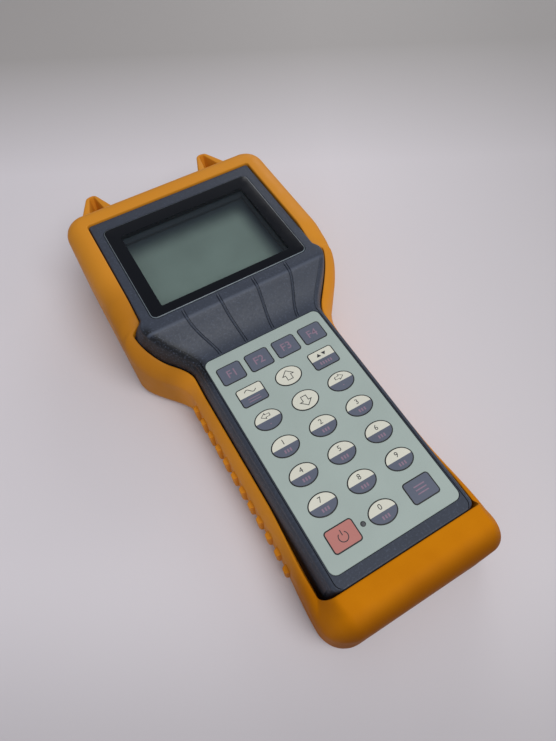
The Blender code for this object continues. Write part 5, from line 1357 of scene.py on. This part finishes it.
class METER_OT_sockets(bpy.types.Operator):
    """Makes the threaded coaxial input and its chamfered nut"""
    bl_idname = "meter.sockets"
    bl_label = "Sockets"

    def execute(self, context):
        settings = context.scene.meter_sockets
        nickel = plated("nickel_plate", settings.plating, 0.26)
        self.make_input(settings, nickel)
        self.make_nut(nickel)
        for node in ("input_washer", "input_contact"):
            dress(node, nickel)
        dress("input_insulator", moulded("white_insulator", tone("#E8E6DE"), 0.45, 0.4, 0.01))
        dress("charging_jack", moulded("black_jack_plastic", tone("#1A1B1E"), 0.4, 0.4, 0.01))
        return {"FINISHED"}

    def make_input(self, settings, nickel):
        """Rings along the barrel; on the thread the radius drops by depth times
        (1 - cos(2 pi y / pitch - turn)) / 2, a helix."""
        pitch, steps, centre = settings.thread_pitch, 48, (0.0, 0.0, SOCKET_HEIGHT)
        start, end = INPUT_LOW.y + 2.5 * MM, INPUT_HIGH.y
        first = start + 6.5 * MM
        length = np.concatenate([[start, first], np.arange(first, end - 0.7 * MM, pitch / 8)])
        turns = np.arange(steps) * 2 * np.pi / steps
        fade = ease(length, first, first + MM) * (1 - ease(length, end - 1.6 * MM, end - 0.8 * MM))
        helix = (1 - np.cos(length[:, None] / pitch * 2 * np.pi - turns[None, :])) / 2
        radii = INPUT_RADIUS - settings.thread_depth * helix * fade[:, None]
        foot = turned_points(
            [INPUT_BORE, INPUT_FLANGE, INPUT_FLANGE, INPUT_RADIUS],
            (INPUT_LOW.y, INPUT_LOW.y, start, start), centre, steps, "y")
        barrel = turned_points(radii, length, centre, steps, "y")
        mouth = turned_points(
            [INPUT_RADIUS - 0.4 * MM, INPUT_BORE + 0.3 * MM, INPUT_BORE], (end, end, end - 0.3 * MM),
            centre, steps, "y")
        points, faces = solid(np.concatenate([foot, barrel, mouth]), close_rows=True)
        body = make_piece("input_barrel", points, faces, [nickel], angle=50.0)
        ride_on(body, "meter", "nickel", "input_body")

    def make_nut(self, nickel):
        """A six-sided ring: radius apothem / cos(angle within a side), cut by a cone at both faces."""
        apothem, across = (NUT_HIGH.z - NUT_LOW.z) / 2, (NUT_HIGH.x - NUT_LOW.x) / 2
        small, large = min(apothem, across), max(apothem, across)
        steps, chamfer = 96, 0.5 * MM
        turns = np.arange(steps) * 2 * np.pi / steps
        shift = 0.0 if across > apothem else np.pi / 6
        side = small / np.cos(np.mod(turns + shift, np.pi / 3) - np.pi / 6)
        limits = np.array([small, large, large, small, NUT_BORE, NUT_BORE])
        places = (NUT_LOW.y, NUT_LOW.y + chamfer, NUT_HIGH.y - chamfer, NUT_HIGH.y, NUT_HIGH.y, NUT_LOW.y)
        rings = turned_points(
            np.minimum(side, limits[:, None]), places, (0.0, 0.0, SOCKET_HEIGHT), steps, "y")
        nut = make_piece("input_ring_nut", *solid(rings, close_rows=True), [nickel], angle=25.0)
        ride_on(nut, "meter", "nickel", "input_nut")


class METER_OT_inside(bpy.types.Operator):
    """Finishes the pieces inside the case"""
    bl_idname = "meter.inside"
    bl_label = "Inside"

    def execute(self, context):
        steel = plated("plated_steel", tone("#B8B8B6"), 0.34)
        board = board_mask("green_solder_mask")
        light_guide = moulded("white_light_guide", tone("#E6E6E2"), 0.4, 0.6, 0.01)
        component = moulded("black_component_plastic", tone("#1C1D20"), 0.45, 0.3, 0.015)
        groups = (
            (board, ("main_board", "lcd_board")),
            (plated("tinned_sheet", tone("#BFBFBB"), 0.4, 0.5), ("rf_tuner_can",)),
            (light_guide, ("lcd_backlight",)),
            (moulded("black_bezel_paint", tone("#2A3036"), 0.5, 0.4, 0.01, specular=0.2), ("lcd_bezel",)),
            (component, ("main_chip", "buzzer")),
            (moulded("black_seal_rubber", tone("#26272A"), 0.75, 0.4, 0.02), ("case_gasket",)),
            (film_material("amber_flex_film", tone("#7A4A1C")), ("lcd_flex",)),
            (moulded("white_key_mat", tone("#DEDCD4"), 0.6, 0.5, 0.02), ("key_dome_sheet",)),
            (moulded("green_cell_sleeve", tone("#37705A"), 0.28, 0.6, 0.006),
             [f"battery_cell_{n}" for n in range(1, 7)]),
            (steel, ("battery_contact_tail", "battery_contact_head", "battery_cover_screw")),
            (steel, [f"case_screw_{n}" for n in range(1, 5)]))
        for made, nodes in groups:
            for node in nodes:
                dress(node, made)
        return {"FINISHED"}


class METER_OT_stage(bpy.types.Operator):
    """Sets the pale floor, the soft light and the camera"""
    bl_idname = "meter.stage"
    bl_label = "Stage"

    def execute(self, context):
        settings = context.scene.meter_stage
        self.make_floor(settings)
        self.make_lights(context, settings)
        self.make_camera(context)
        context.scene.view_settings.view_transform = "Standard"
        return {"FINISHED"}

    def make_floor(self, settings):
        """A flat floor with painted shade near the camera, far off and to the right, that turns up far
        behind the
            meter: height grows with the square of y."""
        made, tree, place = new_material("pale_table_paint")
        dot = {"operation": "DOT_PRODUCT"}
        ahead = add_node(tree, "VectorMath", dot, _0=place, _1=(0.472, 0.881, 0.0))
        aside = add_node(tree, "VectorMath", dot, _0=place, _1=(0.881, -0.472, 0.0))
        far = add_node(tree, "MapRange", Value=ahead, From_Min=0.16, From_Max=0.3)
        right = add_node(tree, "MapRange", Value=aside, From_Min=0.05, From_Max=0.22, To_Max=0.45)
        base = laid_over(
            tree, shade(settings.floor, 1.05), shade(settings.floor, 1.09), lumps(tree, place, 120.0, 2.0))
        # painted shade near the camera, far off and to the right
        base = laid_over(tree, base, shade(settings.floor, 0.7), (ahead, -0.09, -0.19))
        base = laid_over(tree, base, tone("#A4A09E"), far)
        base = laid_over(tree, base, tone("#8A8786"), right)
        finish(made, lumps(tree, place, 1.5, 2.0), 0.02, Base_Color=base, Roughness=0.7)
        rows, columns = 60, 25
        x, y = np.meshgrid(np.linspace(-3.0, 3.0, columns), np.linspace(-2.0, 3.0, rows))
        z = np.clip(y - 1.6, 0.0, None) ** 2 * 0.8
        points = np.stack([x, y, z], axis=2).reshape(-1, 3)
        floor = make_piece("floor", points, grid_faces(rows, columns).tolist(), [made], merge=False)

    def make_lights(self, context, settings):
        """An even sky, a large soft lamp in front and a weaker one behind the right side."""
        world = bpy.data.worlds.new("soft_room")
        world.use_nodes = True
        back = world.node_tree.nodes["Background"]
        back.inputs["Color"].default_value = (*tone("#EDEEF4"), 1.0)
        back.inputs["Strength"].default_value = settings.sky
        context.scene.world = world
        for name, place, size, power in (
                ("lamp_front", (0.15, -0.6, 1.0), 0.8, settings.lamp_power),
                ("lamp_right", (0.8, 0.9, 0.5), 0.7, settings.lamp_power * 0.45)):
            light = bpy.data.lights.new(name, "AREA")
            light.shape = "DISK"
            light.size = size
            light.energy = power
            item = bpy.data.objects.new(name, light)
            aim = Vector((0.0, 0.0, 0.03)) - Vector(place)
            item.rotation_euler = aim.to_track_quat("-Z", "Y").to_euler()
            item.location = place
            context.scene.collection.objects.link(item)

    def make_camera(self, context):
        """Looks from the tail's left, down onto the meter, as the photograph does."""
        heading, fall, roll = (math.radians(angle) for angle in (CAMERA_HEADING, CAMERA_FALL, CAMERA_ROLL))
        forward = Vector((
            math.sin(heading) * math.cos(fall), math.cos(heading) * math.cos(fall), -math.sin(fall)))
        level = forward.cross(Vector((0.0, 0.0, 1.0))).normalized()
        over = level.cross(forward)
        right = math.cos(roll) * level + math.sin(roll) * over
        above = math.cos(roll) * over - math.sin(roll) * level
        camera = bpy.data.cameras.new("camera")
        camera.sensor_width = CAMERA_SENSOR
        camera.lens = CAMERA_LENS
        camera.clip_start = 0.01
        item = bpy.data.objects.new("camera", camera)
        turn = Matrix((right, above, -forward)).transposed().to_4x4()
        item.matrix_world = Matrix.Translation(CAMERA_PLACE) @ turn
        context.scene.collection.objects.link(item)
        context.scene.camera = item


OPERATORS = (
    METER_OT_holster, METER_OT_case, METER_OT_cover, METER_OT_display, METER_OT_keypad, METER_OT_sockets,
    METER_OT_inside, METER_OT_stage)


class METER_PT_panel(bpy.types.Panel):
    bl_idname = "METER_PT_panel"
    bl_label = "Level Meter"
    bl_space_type = "VIEW_3D"
    bl_region_type = "UI"
    bl_category = "Level Meter"

    def draw(self, context):
        for kind in OPERATORS:
            self.layout.operator(kind.bl_idname)


CLASSES = (*SETTINGS.values(), *OPERATORS, METER_PT_panel)


def register():
    for kind in CLASSES:
        bpy.utils.register_class(kind)
    for name, kind in SETTINGS.items():
        setattr(bpy.types.Scene, name, bpy.props.PointerProperty(type=kind))


def unregister():
    for name in SETTINGS:
        delattr(bpy.types.Scene, name)
    for kind in reversed(CLASSES):
        bpy.utils.unregister_class(kind)


def main():
    register()
    for kind in OPERATORS:
        group, action = kind.bl_idname.split(".")
        getattr(getattr(bpy.ops, group), action)()


if __name__ == "__main__":
    main()
